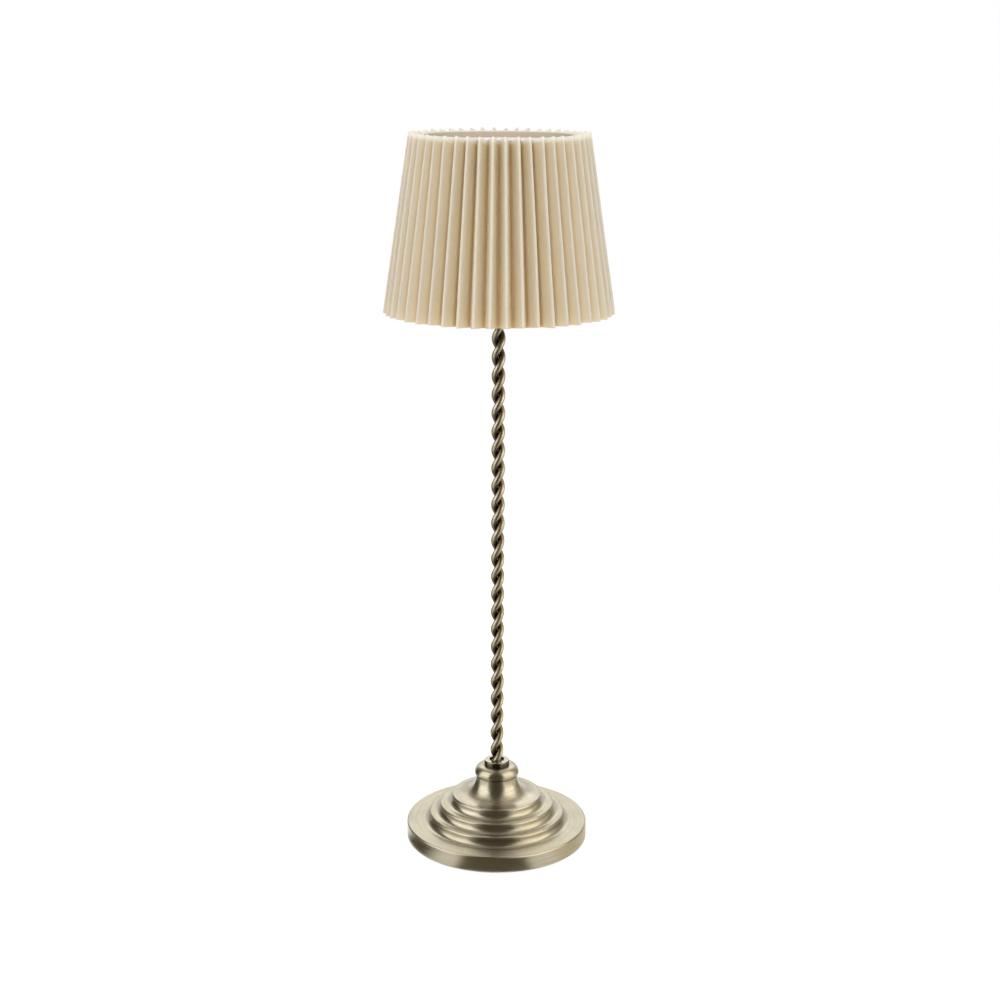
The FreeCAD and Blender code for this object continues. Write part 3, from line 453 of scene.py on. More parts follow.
@dataclass(frozen=True)
class PlainMetal(Finish):
    """A metal with fine marks and soft patches, and, where one is asked, a painted dark reflection
    on its outer wall beyond a given radius.
    """

    light: tuple[float, ...]
    dark: tuple[float, ...]
    smooth: float
    rough: float
    patch_scale: float = 120.0
    grain_scale: float = 2500.0
    grain_depth: float = 0.02 * MM
    painted_reflection_beyond: float = 0.0
    wall: tuple[float, ...] = paint(82, 77, 64)
    painted_reflection_fade: float = 0.3 * MM
    speck_share: float = 0.4

    def dress(self, board: Board, shader: bpy.types.Node) -> bpy.types.NodeSocket:
        """Two tones in patches, with a rougher dark tone and a fine grain.

        Args:
            board: The material's board.
            shader: Its main shader.

        Returns:
            The surface.
        """
        worn = board.effect("tarnish", Scale=self.patch_scale, Low=0.35, High=0.7)
        place = board.spot()
        tone = board.blend(worn["Patches"], self.light, self.dark)
        # Painted reflection: beyond the given radius the wall is painted dark, the way a polished
        # wall looks when it reflects dark surroundings.
        if self.painted_reflection_beyond:
            x, y, _ = board.split(place)
            painted_reflection_share = board.span(board.reach(x, y), self.painted_reflection_beyond - self.painted_reflection_fade,
                                self.painted_reflection_beyond)
            tone = board.blend(painted_reflection_share, tone, self.wall)
        grain = board.clouds(place, self.grain_scale, detail=2.0)
        return board.feed(shader, {
            "Base Color": board.blend(board.times(worn["Specks"], self.speck_share), tone,
                                      self.dark),
            "Metallic": 1.0,
            "Roughness": board.between(worn["Patches"], self.smooth, self.rough),
            "Normal": board.bump(grain, strength=0.3, depth=self.grain_depth)}).outputs[0]


@dataclass(frozen=True)
class Moulded(Finish):
    """Moulded plastic, resin or paint with a faint skin texture."""

    light: tuple[float, ...]
    dark: tuple[float, ...]
    rough: float
    clear: float = 0.0
    soft: float = 0.0
    skin_rough: float = 0.1
    skin_scale: float = 1800.0
    skin_depth: float = 0.03 * MM

    def dress(self, board: Board, shader: bpy.types.Node) -> bpy.types.NodeSocket:
        """Faint tone change, fine skin and, where asked, light passing in or through.

        Args:
            board: The material's board.
            shader: Its main shader.

        Returns:
            The surface.
        """
        worn = board.effect("tarnish", Scale=90.0, Low=0.3, High=0.8)["Patches"]
        skin = board.clouds(board.spot(), self.skin_scale, detail=2.0)
        return board.feed(shader, {
            "Base Color": board.blend(worn, self.light, self.dark),
            "Roughness": board.span(skin, *MOST_NOISE, self.rough,
                                    self.rough + self.skin_rough),
            "Transmission Weight": self.clear,
            "Subsurface Weight": self.soft,
            "Subsurface Scale": 2 * MM,
            "Normal": board.bump(skin, strength=0.15, depth=self.skin_depth)}).outputs[0]


@dataclass(frozen=True)
class Cloth(Finish):
    """Plain woven cloth that lets some light through.

    The tone is painted light and shade. It runs from a pale crest to a warmer flank to a darker
    colour deep in a pleat, following the attribute fold_depth, which is 0 on a crest and 1 deep in
    a valley. Above a given height on the cloth's map it turns pale, which is a painted glow of
    light through the top edge.
    """

    crest: tuple[float, ...]
    flank: tuple[float, ...]
    fold_shade: tuple[float, ...]
    through: tuple[float, ...]
    share_through: float
    painted_glow_from: float = 0.0
    pale: tuple[float, ...] = paint(246, 243, 234)
    painted_glow_through: tuple[float, ...] = paint(236, 231, 220)
    painted_glow_fade: float = 2.0 * MM
    crest_end: tuple[float, float] = (0.08, 0.32)
    fold_shade_start: tuple[float, float] = (0.6, 1.0)
    pitch: float = 0.34 * MM
    slub: float = 2600.0
    relief: float = 0.07 * MM
    yarn_share: float = 0.16
    thread_share: float = 0.10
    gap_shade_share: float = 0.62
    fuzz_share: float = 0.5
    smooth: float = 0.86
    rough: float = 0.96

    def dress(self, board: Board, shader: bpy.types.Node) -> bpy.types.NodeSocket:
        """Weave relief, uneven yarn with painted shade between the threads, painted light and
        shade by fold depth, a painted glow at the top edge, and translucence.

        Args:
            board: The material's board.
            shader: Its main shader.

        Returns:
            The surface.
        """
        cloth = board.effect("weave", Pitch=self.pitch, Slub=self.slub)
        depth = board.place("Attribute", attribute_name="fold_depth").outputs["Fac"]
        # Painted light and shade: pale on the crests, warmer on the flanks, darker deep in the
        # folds.
        tone = board.blend(board.span(depth, *self.crest_end), self.crest, self.flank)
        tone = board.blend(board.span(depth, *self.fold_shade_start), tone, self.fold_shade)
        through = self.through
        # Painted glow: above a given height the cloth and the light through it turn pale, as if
        # lit through from above.
        if self.painted_glow_from:
            _, along = board.cloth_map()
            edge = board.span(along, self.painted_glow_from, self.painted_glow_from + self.painted_glow_fade)
            tone = board.blend(edge, tone, self.pale)
            through = board.blend(edge, self.through, self.painted_glow_through)
        # Darker along uneven yarn, and painted shade where the weave sits low between the threads.
        yarn_and_gap_shade = board.plus(board.span(cloth["Yarn"], *MID_NOISE, 0.0, self.yarn_share),
                          board.between(cloth["Height"], self.thread_share, 0.0))
        gap_shade_tone = (*(self.gap_shade_share * value for value in self.crest[:3]), 1.0)
        rise = board.plus(cloth["Height"], board.times(cloth["Fuzz"], self.fuzz_share))
        normal = board.bump(rise, strength=0.5, depth=self.relief)
        glow = board.run("BsdfTranslucent", {"Color": through, "Normal": normal})
        board.feed(shader, {
            "Base Color": board.blend(yarn_and_gap_shade, tone, gap_shade_tone),
            "Roughness": board.span(cloth["Fuzz"], *MOST_NOISE, self.smooth, self.rough),
            "Specular IOR Level": 0.2,
            "Sheen Weight": 0.12,
            "Sheen Roughness": 0.5,
            "Normal": normal})
        return board.layered(self.share_through, shader.outputs[0], glow)


@dataclass(frozen=True)
class Felt(Finish):
    """Pressed wool felt."""

    light: tuple[float, ...] = paint(58, 54, 50)
    dark: tuple[float, ...] = paint(38, 35, 32)
    fibre_scale: float = 3200.0
    fibre_depth: float = 0.2 * MM
    clump_scale: float = 380.0
    clump_edge: tuple[float, float] = (0.4, 0.7)
    clump_share: float = 0.35
    smooth: float = 0.88
    rough: float = 0.98

    def dress(self, board: Board, shader: bpy.types.Node) -> bpy.types.NodeSocket:
        """Matted fibres with a soft sheen.

        Args:
            board: The material's board.
            shader: Its main shader.

        Returns:
            The surface.
        """
        place = board.spot()
        fibres = board.clouds(place, self.fibre_scale, detail=4.0, rough=0.7)
        clumps = board.span(board.clouds(place, self.clump_scale), *self.clump_edge, 0.0,
                            self.clump_share)
        tone = board.blend(board.span(fibres, *MID_NOISE), self.dark, self.light)
        return board.feed(shader, {
            "Base Color": board.blend(clumps, tone, self.light),
            "Roughness": board.span(fibres, *MOST_NOISE, self.smooth, self.rough),
            "Sheen Weight": 0.35,
            "Normal": board.bump(fibres, strength=0.7,
                                 depth=self.fibre_depth)}).outputs[0]


BRUSHED = LatheBrass(Slot.BRUSHED)
TWISTED = TwistedBrass(Slot.ANTIQUE)
WELD = TwistedBrass(Slot.ANTIQUE, paint(156, 134, 112), paint(116, 97, 78), paint(52, 42, 32),
                    label="weld_dark")
# The collar's outer wall carries a painted dark reflection.
POLISHED = PlainMetal(Slot.COLLAR, paint(192, 187, 174), paint(158, 150, 130), 0.10, 0.20,
                      painted_reflection_beyond=6.9 * MM)
STEEL = PlainMetal(Slot.STEEL, paint(196, 196, 194), paint(150, 150, 148), 0.25, 0.4)
IRON = PlainMetal(Slot.IRON, paint(96, 92, 88), paint(62, 58, 54), 0.55, 0.75,
                  grain_scale=900.0, grain_depth=0.2 * MM)
CELL = PlainMetal(Slot.CELL, paint(214, 214, 210), paint(186, 186, 182), 0.2, 0.32)
CONTACT = PlainMetal(Slot.CONTACT, paint(216, 200, 150), paint(176, 158, 104), 0.22, 0.35)
WIRE = Moulded(Slot.WIRE, paint(232, 226, 212), paint(216, 208, 190), 0.35)
WAX = Moulded(Slot.WAX, paint(240, 232, 214), paint(232, 220, 196), 0.42, soft=0.25)
FLAME = Moulded(Slot.FLAME, paint(250, 236, 196), paint(246, 222, 168), 0.25, clear=0.35)
GREEN = Moulded(Slot.BOARD, paint(40, 96, 58), paint(30, 78, 48), 0.4)
EPOXY = Moulded(Slot.EPOXY, paint(248, 240, 214), paint(240, 228, 190), 0.1, clear=0.6)
BLACK = Moulded(Slot.SWITCH, paint(40, 40, 40), paint(28, 28, 28), 0.4)
FELT = Felt(Slot.FELT)
# The cover's crest, flank and fold tones are painted light and shade.
PLEAT_CLOTH = Cloth(Slot.CLOTH, crest=paint(226, 221, 209), flank=paint(240, 226, 196),
                    fold_shade=paint(220, 190, 132), through=paint(240, 229, 202),
                    # Its top edge carries a painted glow.
                    share_through=0.4, painted_glow_from=89.0 * MM)
LINING = Cloth(Slot.LINING, crest=paint(228, 210, 190), flank=paint(228, 210, 190),
               fold_shade=paint(222, 200, 178), through=paint(230, 206, 172),
               share_through=0.15, relief=0.04 * MM)
# The tape's fold tone is painted shade on its inner hem.
TAPE = Cloth(Slot.TAPE, crest=paint(236, 231, 220), flank=paint(236, 231, 220),
             fold_shade=paint(197, 185, 168), through=paint(200, 184, 160),
             share_through=0.08, slub=3400.0)


def dress_nodes(finish: Finish, *names: str) -> None:
    """Gives CAD nodes a finish.

    Args:
        finish: The finish.
        names: Names of the nodes.
    """
    for name in names:
        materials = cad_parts[name].data.materials
        materials.clear()
        materials.append(finish.material())
        LOG.info("node %s: %s", name, finish.slot.value)


def put(shape: bmesh.types.BMesh, name: str,
        material: bpy.types.Material | None = None) -> bpy.types.Object:
    """Turns a finished bmesh into an object of the scene.

    Args:
        shape: The geometry, in metres in the lamp's own frame.
        name: Name of the object and of its mesh.
        material: Its material.

    Returns:
        The object.
    """
    mesh = bpy.data.meshes.new(name)
    shape.to_mesh(mesh)
    shape.free()
    if material:
        mesh.materials.append(material)
    made = bpy.data.objects.new(name, mesh)
    bpy.context.scene.collection.objects.link(made)
    return made


def settle(shape: bmesh.types.BMesh, name: str, body: Body, finish: Finish,
           sharp: float = 40.0) -> bpy.types.Object:
    """Turns a finished bmesh into a piece that rides on a body.

    Args:
        shape: The geometry, in metres in the lamp's own frame.
        name: Name of the piece.
        body: Body that carries it.
        finish: Its finish.
        sharp: Angle in degrees past which an edge stays sharp.

    Returns:
        The piece.
    """
    limit = math.radians(sharp)
    for face in shape.faces:
        face.smooth = True
    for edge in shape.edges:
        edge.smooth = len(edge.link_faces) != 2 or edge.calc_face_angle(0.0) < limit
    piece = put(shape, name, finish.material())
    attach(piece, body.value)
    LOG.info("piece %s on %s: %d faces", name, body.value, len(piece.data.polygons))
    return piece


def thicken(shape: bmesh.types.BMesh, thickness: float) -> bmesh.types.BMesh:
    """Gives a sheet its thickness, half to each side, with closed rims.

    Args:
        shape: An open sheet.
        thickness: Thickness in millimetres.

    Returns:
        The closed shape.
    """
    carrier = put(shape, "sheet")
    mesh = carrier.data
    wall = carrier.modifiers.new("wall", "SOLIDIFY")
    wall.thickness = thickness * MM
    wall.offset = 0.0
    wall.use_even_offset = True
    grown = carrier.evaluated_get(bpy.context.evaluated_depsgraph_get())
    thick = bmesh.new()
    thick.from_mesh(grown.to_mesh())
    bpy.data.objects.remove(carrier)
    bpy.data.meshes.remove(mesh)
    return thick


def polar(point: Vector) -> tuple[float, float]:
    """Radius and bearing of a point round the upright axis."""
    return math.hypot(point.x, point.y), math.atan2(point.y, point.x)


def at(radius: float, bearing: float, height: float) -> Vector:
    """The point at a radius, bearing and height."""
    return Vector((radius * math.cos(bearing), radius * math.sin(bearing), height))


def rise_of(edge: bmesh.types.BMEdge) -> float:
    """Height between an edge's two ends."""
    return abs(edge.verts[0].co.z - edge.verts[1].co.z)


def round_off(shape: bmesh.types.BMesh, edges: list[bmesh.types.BMEdge], size: float,
              steps: int) -> None:
    """Rounds edges off by a size in millimetres."""
    bmesh.ops.bevel(shape, geom=edges, offset=size * MM, segments=steps, profile=0.5,
                    affect="EDGES", material=-1)


def spun(profile: list[tuple[float, float]], steps: int) -> bmesh.types.BMesh:
    """A profile turned once round the upright axis.

    Args:
        profile: Radius and height of each corner, in millimetres.
        steps: Steps in the turn.

    Returns:
        The open sheet.
    """
    shape = bmesh.new()
    points = [shape.verts.new((radius * MM, 0.0, height * MM)) for radius, height in profile]
    edges = [shape.edges.new(pair) for pair in zip(points, points[1:])]
    bmesh.ops.spin(shape, geom=points + edges, axis=(0, 0, 1), cent=(0, 0, 0),
                   angle=FULL_TURN, steps=steps, use_merge=True)
    bmesh.ops.recalc_face_normals(shape, faces=shape.faces)
    return shape


def map_round(shape: bmesh.types.BMesh, radius: float) -> None:
    """Lays the cloth map round a turned sheet: girth across, height along, in metres.

    Args:
        shape: The sheet.
        radius: Radius at which the map's width is the true girth, in millimetres.
    """
    layer = shape.loops.layers.uv.new("cloth")
    for face in shape.faces:
        bearings = [polar(loop.vert.co)[1] for loop in face.loops]
        crosses = max(bearings) - min(bearings) > math.pi
        for loop, bearing in zip(face.loops, bearings):
            wrapped = bearing + FULL_TURN if crosses and bearing < 0 else bearing
            loop[layer].uv = (wrapped * radius * MM, loop.vert.co.z)


@dataclass
class Base:
    """Stepped base: brushed shell, hidden weight and felt under it, in millimetres."""

    pad_radius: float = 47.0
    pad_thickness: float = 1.5
    pad_edge: float = 0.35
    edge_steps: int = 3
    insets: tuple[float, ...] = (6.0, 10.0, 14.0)
    round_steps: int = 96
    fuzz: float = 0.03
    fuzz_scale: float = 400.0
    level_within: float = 0.01

    def build(self) -> None:
        """Makes the felt pad and dresses the base's own nodes."""
        self.felt_pad()
        dress_nodes(BRUSHED, "base_shell")
        dress_nodes(IRON, "base_weight")

    def felt_pad(self) -> None:
        """The felt disc, soft at its cut edge and slightly uneven underneath."""
        radius, thickness = self.pad_radius * MM, self.pad_thickness * MM
        shape = bmesh.new()
        bmesh.ops.create_cone(shape, cap_ends=True, segments=self.round_steps, radius1=radius,
                              radius2=radius, depth=thickness)
        bmesh.ops.translate(shape, verts=shape.verts, vec=(0, 0, thickness / 2))
        rims = [edge for edge in shape.edges if rise_of(edge) < self.level_within * MM]
        round_off(shape, rims, self.pad_edge, self.edge_steps)
        caps = [face for face in shape.faces if len(face.verts) > 4]
        for width in self.insets:
            bmesh.ops.inset_region(shape, faces=caps, thickness=width * MM)
        for vert in shape.verts:
            lift = noise.noise(vert.co * self.fuzz_scale) * self.fuzz * MM
            vert.co.z = min(max(vert.co.z + lift, 0.0), thickness)
        pad = settle(shape, "felt_foot", Body.LAMP, FELT)
        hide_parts("base_pad")


@dataclass
class Stem:
    """Two twisted rods between the collar on the base and the ferrule under the cup.

    Each bead's place is its bearing in degrees, its reach in millimetres and its share of
    the bead size.
    """

    bead_level: float = 44.6
    bead_size: float = 1.1
    bead_places: tuple[tuple[float, float, float], ...] = (
        (-112.0, 2.75, 0.95), (-84.0, 2.9, 0.8), (-58.0, 2.7, 0.7), (-140.0, 2.9, 0.6),
        (66.0, 2.8, 0.95), (97.0, 2.85, 0.8), (126.0, 2.7, 0.7))
    lump_share: float = 0.16
    lump_scale: float = 2200.0
    squash_share: float = 0.8
    seed: int = 11

    def build(self) -> None:
        """Makes the weld beads and dresses the stem's own nodes."""
        self.weld_beads()
        dress_nodes(TWISTED, "stem_strand_front", "stem_strand_back")
        dress_nodes(POLISHED, "stem_collar")
        dress_nodes(BRUSHED, "stem_ferrule")
        dress_nodes(STEEL, "stem_stud", "stem_washer", "stem_nut")

    def weld_beads(self) -> None:
        """Small lumps of weld that hold the rods' feet to the stud inside the collar."""
        shape = bmesh.new()
        drift = Vector((self.seed, 0, 0))
        for bearing, reach, share in self.bead_places:
            centre = at(reach * MM, math.radians(bearing), self.bead_level * MM)
            made = bmesh.ops.create_icosphere(shape, subdivisions=3,
                                              radius=self.bead_size * share * MM,
                                              matrix=Matrix.Translation(centre))
            for vert in made["verts"]:
                away = vert.co - centre
                away.z *= self.squash_share
                lump = self.lump_share * noise.noise(vert.co * self.lump_scale + drift)
                vert.co = centre + away * (1 + lump)
        settle(shape, "stem_weld_beads", Body.LAMP, WELD, sharp=180.0)


@dataclass
class CandleHolder:
    """Drip pan and candle cup on top of the stem."""

    def build(self) -> None:
        """Dresses the pan, the cup and its screw."""
        dress_nodes(BRUSHED, "drip_pan", "candle_cup")
        dress_nodes(STEEL, "cup_screw")


@dataclass
class ShadeCarrier:
    """Wire carrier that holds the shade over the cup."""

    def build(self) -> None:
        """Dresses the foot, the legs and the clawed ring."""
        dress_nodes(TWISTED, "carrier_foot", "carrier_legs", "carrier_ring")


@dataclass
class Shade:
    """Pleated shade: cover, smooth lining, bound top edge and wire frame.

    Sizes are in millimetres and bearings in degrees, and fold_angle, bend_angle and
    same_bearing are in radians. The last fields hold the unfolded cover: the bearing of
    each point along its foot, and the length of cloth up to it.
    """

    pleats: int = 46
    crown_bearing: float = -86.4
    low_level: float = 295.3
    height: float = 92.05
    low_crown: float = 60.35
    high_crown: float = 46.6
    low_depth: float = 7.6
    high_depth: float = 7.2
    low_drop: float = 0.6
    high_drop: float = 2.5
    cloth: float = 0.5
    crown_fold: float = 1.72
    valley_fold: float = 1.3
    crown_point: float = 1.05
    valley_point: float = 0.8
    upright_over: float = 1.0
    level_within: float = 0.1
    flank_over: float = 2.0
    fold_steps: int = 6
    fold_angle: float = 1.0
    same_bearing: float = 1e-4
    flank_cuts: int = 3
    rows: int = 23
    lean_out: float = 0.22
    wave_out: float = 0.18
    lean_aside: float = 0.16
    wave_aside: float = 0.22
    bow_aside: float = 0.2
    bow_level: float = 0.4
    lean_level: float = 0.15
    wave_steps: tuple[float, float] = (1.7, 1.4)
    liner_gap: float = 0.15
    liner_thickness: float = 0.5
    liner_low: float = 295.9
    liner_high: float = 385.15
    liner_rows: int = 12
    liner_slack: float = 0.12
    slack_inward: float = 0.6
    slack_scale: float = 2.0
    flat_height_share: float = 1.2
    round_steps: int = 160
    tape_top: float = 386.35
    tape_thickness: float = 0.22
    tape_width: float = 1.4
    tape_hem: float = 2.0
    tape_shoulder: tuple[float, float] = (0.3, 0.45)
    tape_tuck: float = 0.2
    tape_start: tuple[float, float] = (0.15, 0.05)
    tape_bend: float = 0.2
    bend_steps: int = 2
    bend_angle: float = 0.5
    tape_unshaded_top: float = 0.4
    lap_bearing: float = 118.0
    lap_width: float = 7.0
    lap_thickness: float = 0.3
    lap_ends: tuple[float, float] = (2.6, 3.0)
    lap_rows: int = 11
    lap_steps: int = 6
    seed: int = 5
    bearings: list[float] = field(default_factory=list)
    girth: list[float] = field(default_factory=list)

    def build(self) -> None:
        """Makes the cloth pieces and dresses the wire frame."""
        cover = self.pleated_cover()
        lining = self.lining()
        tape = self.bound_edge()
        lap = self.lining_lap()
        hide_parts("shade_pleats")
        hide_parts("shade_liner")
        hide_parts("shade_top_binding")
        dress_nodes(WIRE, "shade_fitter", "shade_top_ring", "shade_bottom_ring",
                    "shade_spokes")

    def taper(self, low: float, high: float, share: float) -> float:
        """A size that runs evenly from the shade's lower edge to its top."""
        return low + (high - low) * share

    def liner_radius(self, level: float) -> float:
        """Outer radius of the lining at a level.

        Args:
            level: The level.

        Returns:
            The radius.
        """
        share = (level - self.low_level) / self.height
        valley = self.taper(self.low_crown - self.low_depth,
                            self.high_crown - self.high_depth, share)
        return valley - self.cloth - self.liner_gap

    def pleated_cover(self) -> bpy.types.Object:
        """The cover: a zigzag ring pulled up, its folds rounded, then set to the taper.

        Returns:
            The piece.
        """
        shape = bmesh.new()
        pitch = FULL_TURN / self.pleats
        turn = math.radians(self.crown_bearing)
        crown = self.low_crown - self.cloth / 2
        valley = crown - self.low_depth
        bmesh.ops.create_circle(shape, cap_ends=False, radius=crown * MM,
                                segments=self.pleats * 2)
        for vert in shape.verts:
            step = round(polar(vert.co)[1] / (pitch / 2))
            reach = crown + self.crown_point if step % 2 == 0 else valley - self.valley_point
            vert.co = at(reach * MM, step * pitch / 2 + turn, 0.0)
        lifted = bmesh.ops.extrude_edge_only(shape, edges=shape.edges[:])["geom"]
        bmesh.ops.translate(shape, vec=(0, 0, self.height * MM),
                            verts=[v for v in lifted if isinstance(v, bmesh.types.BMVert)])
        middle = (crown + valley) / 2 * MM
        for outside, size in ((True, self.crown_fold), (False, self.valley_fold)):
            folds = [edge for edge in shape.edges
                     if rise_of(edge) > self.upright_over * MM
                     and (polar(edge.verts[0].co)[0] > middle) == outside
                     and edge.calc_face_angle(0.0) > self.fold_angle]
            round_off(shape, folds, size, self.fold_steps)
        flanks = [edge for edge in shape.edges
                  if rise_of(edge) < self.level_within * MM
                  and edge.calc_length() > self.flank_over * MM]
        bmesh.ops.subdivide_edges(shape, edges=flanks, cuts=self.flank_cuts,
                                  use_grid_fill=True)
        uprights = [edge for edge in shape.edges
                    if rise_of(edge) > self.upright_over * MM]
        bmesh.ops.subdivide_edges(shape, edges=uprights, cuts=self.rows, use_grid_fill=True)
        self.map_cover(shape)
        self.hang_cover(shape, crown, valley)
        bmesh.ops.recalc_face_normals(shape, faces=shape.faces)
        return settle(thicken(shape, self.cloth), "shade_cover", Body.SHADE, PLEAT_CLOTH)

    def map_cover(self, shape: bmesh.types.BMesh) -> None:
        """Lays the cloth map along the unfolded cloth, in metres.

        Args:
            shape: The straight cover.
        """
        foot = sorted(((polar(vert.co)[1], vert.co) for vert in shape.verts
                       if vert.co.z < self.level_within * MM),
                      key=lambda pair: pair[0])
        self.bearings = [bearing for bearing, _ in foot]
        steps = [(low - high).length for (_, low), (_, high) in zip(foot, foot[1:])]
        self.girth = [0.0, *accumulate(steps)]
        whole = self.girth[-1] + (foot[0][1] - foot[-1][1]).length
        LOG.info("cover unfolds to %.4f m", whole)
        layer = shape.loops.layers.uv.new("cloth")
        for face in shape.faces:
            runs = [self.run_at(polar(loop.vert.co)[1]) for loop in face.loops]
            crosses = max(runs) - min(runs) > whole / 2
            for loop, length in zip(face.loops, runs):
                wrapped = length + whole if crosses and length < whole / 2 else length
                loop[layer].uv = (wrapped, loop.vert.co.z)

    def run_at(self, bearing: float) -> float:
        """Length of unfolded cloth up to a bearing."""
        place = bisect_left(self.bearings, bearing - self.same_bearing)
        return self.girth[min(place, len(self.girth) - 1)]

    def hang_cover(self, shape: bmesh.types.BMesh, crown: float, valley: float) -> None:
        """Tapers the straight zigzag and gives each pleat its small differences.

        Args:
            shape: The straight cover.
            crown: Radius of the crowns at the foot, in millimetres.
            valley: Radius of the valleys at the foot, in millimetres.
        """
        draw = Random(self.seed)
        leans = [(draw.uniform(-1, 1), draw.uniform(-1, 1), draw.uniform(-1, 1))
                 for _ in range(self.pleats)]
        pitch = FULL_TURN / self.pleats
        turn = math.radians(self.crown_bearing)
        high_valley = self.high_crown - self.high_depth - self.cloth / 2
        pleat_step, height_step = self.wave_steps
        depth = shape.verts.layers.float.new("fold_depth")
        for vert in shape.verts:
            radius, bearing = polar(vert.co)
            share = vert.co.z / (self.height * MM)
            out = (radius / MM - valley) / (crown - valley)
            vert[depth] = 1.0 - min(max(out, 0.0), 1.0)
            number = round((bearing - turn) / pitch) % self.pleats
            low, high, bow = leans[number]
            wave = noise.noise(Vector((number * pleat_step, share * height_step, self.seed)))
            reach = self.taper(valley, high_valley, share) + out * (
                self.taper(self.low_depth, self.high_depth, share)
                + self.lean_out * self.taper(low, high, share) + self.wave_out * wave)
            aside = out * (self.lean_aside * self.taper(high, low, share)
                           + self.wave_aside * wave
                           + self.bow_aside * bow * math.sin(math.pi * share))
            drop = self.taper(-self.low_drop, -self.high_drop, share) * (1 - out)
            uneven = out * self.taper(self.bow_level * bow, self.lean_level * low, share)
            level = self.low_level + self.height * share + drop + uneven
            vert.co = at(reach * MM, bearing + aside / reach, level * MM)

    def lining(self) -> bpy.types.Object:
        """The smooth lining, a plain cone with a slight waviness between its rings.

        Returns:
            The piece.
        """
        half = self.liner_thickness / 2
        levels = [self.taper(self.liner_low, self.liner_high, step / self.liner_rows)
                  for step in range(self.liner_rows + 1)]
        shape = spun([(self.liner_radius(level) - half, level) for level in levels],
                     self.round_steps)
        for vert in shape.verts:
            radius, bearing = polar(vert.co)
            share = (vert.co.z / MM - self.liner_low) / (self.liner_high - self.liner_low)
            wave = noise.noise(self.slack_scale * Vector((math.cos(bearing),
                                                          math.sin(bearing), share)))
            slack = self.liner_slack * math.sin(math.pi * share) * (wave - self.slack_inward)
            vert.co = at(radius + slack * MM, bearing, vert.co.z)
        map_round(shape, self.liner_radius(self.liner_low))
        return settle(thicken(shape, self.liner_thickness), "shade_lining", Body.SHADE, LINING)

    def lining_lap(self) -> bpy.types.Object:
        """The glued lap where the lining's two ends meet, on its inner face.

        Returns:
            The piece.
        """
        above, below = self.lap_ends
        shape = bmesh.new()
        ends = []
        for level in (self.liner_low + above, self.liner_high - below):
            inner = self.liner_radius(level) - self.liner_thickness - self.lap_thickness / 2
            ends.append(shape.verts.new(at(inner * MM, math.radians(self.lap_bearing),
                                           level * MM)))
        edge = shape.edges.new(ends)
        bmesh.ops.subdivide_edges(shape, edges=[edge], cuts=self.lap_rows)
        bmesh.ops.spin(shape, geom=shape.verts[:] + shape.edges[:], axis=(0, 0, 1),
                       cent=(0, 0, 0), angle=self.lap_width / self.low_crown,
                       steps=self.lap_steps, use_merge=False)
        bmesh.ops.recalc_face_normals(shape, faces=shape.faces)
        map_round(shape, self.liner_radius(self.liner_low))
        return settle(thicken(shape, self.lap_thickness), "shade_lining_lap", Body.SHADE,
                      LINING)

    def bound_edge(self) -> bpy.types.Object:
        """The tape folded over the lining's top edge, pale outside and on top, with painted shade
        on its inner hem.

        Returns:
            The piece.
        """
        half = self.tape_thickness / 2
        top = self.tape_top - half
        inner, hem = (self.liner_radius(level) - self.liner_thickness - half
                      for level in (self.liner_high, self.liner_high - self.tape_hem))
        outer = inner + self.tape_width
        shoulder, fall = self.tape_shoulder
        in_by, up_by = self.tape_start
        shape = spun([(outer - in_by, self.liner_high + up_by), (outer, top - fall),
                      (outer - shoulder, top), (inner + shoulder, top), (inner, top - fall),
                      (inner, self.liner_high - self.tape_tuck),
                      (hem, self.liner_high - self.tape_hem)], self.round_steps)
        bends = [edge for edge in shape.edges
                 if edge.calc_face_angle(0.0) > self.bend_angle]
        round_off(shape, bends, self.tape_bend, self.bend_steps)
        # Painted shade: the tape's inner hem below its top takes the darker fold tone.
        depth = shape.verts.layers.float.new("fold_depth")
        for vert in shape.verts:
            inside = polar(vert.co)[0] < (outer + inner) / 2 * MM
            vert[depth] = float(inside and vert.co.z < (top - self.tape_unshaded_top) * MM)
        map_round(shape, outer)
        return settle(thicken(shape, self.tape_thickness), "shade_edge_tape", Body.SHADE, TAPE)


@dataclass
class Tealight:
    """Battery tealight in the candle cup."""

    def build(self) -> None:
        """Dresses the case, the flame, the cell and the small parts inside."""
        dress_nodes(WAX, "tealight_case", "tealight_plate", "battery_cap")
        dress_nodes(CONTACT, "cell_spring", "cell_side_contact")
        for name, finish in (("plate_screws", STEEL), ("coin_cell", CELL),
                             ("led_board", GREEN), ("led", EPOXY), ("flame_lens", FLAME),
                             ("power_switch", BLACK)):
            dress_nodes(finish, name)


@dataclass
class PhotoCamera:
    """The camera, in front of the lamp and looking a little down on it."""

    distance: float = 0.90727
    height: float = 0.4325
    tilt: float = 13.626
    roll: float = 0.249
    lens: float = 62.99
    sensor: float = 36.0
    shift: tuple[float, float] = (0.0019, -0.0349)
    sight: tuple[float, float] = (0.01, 50.0)

    def place(self) -> None:
        """Adds the camera and makes it the scene's own."""
        data = bpy.data.cameras.new("photo_camera")
        data.lens = self.lens
        data.sensor_width = self.sensor
        data.shift_x, data.shift_y = self.shift
        data.clip_start, data.clip_end = self.sight
        camera = bpy.data.objects.new("photo_camera", data)
        bpy.context.scene.collection.objects.link(camera)
        turn = Matrix.Rotation(math.radians(90 - self.tilt), 4, "X")
        lean = Matrix.Rotation(math.radians(self.roll), 4, "Z")
        camera.matrix_world = Matrix.Translation((0, -self.distance, self.height)) @ turn @ lean
        bpy.context.scene.camera = camera


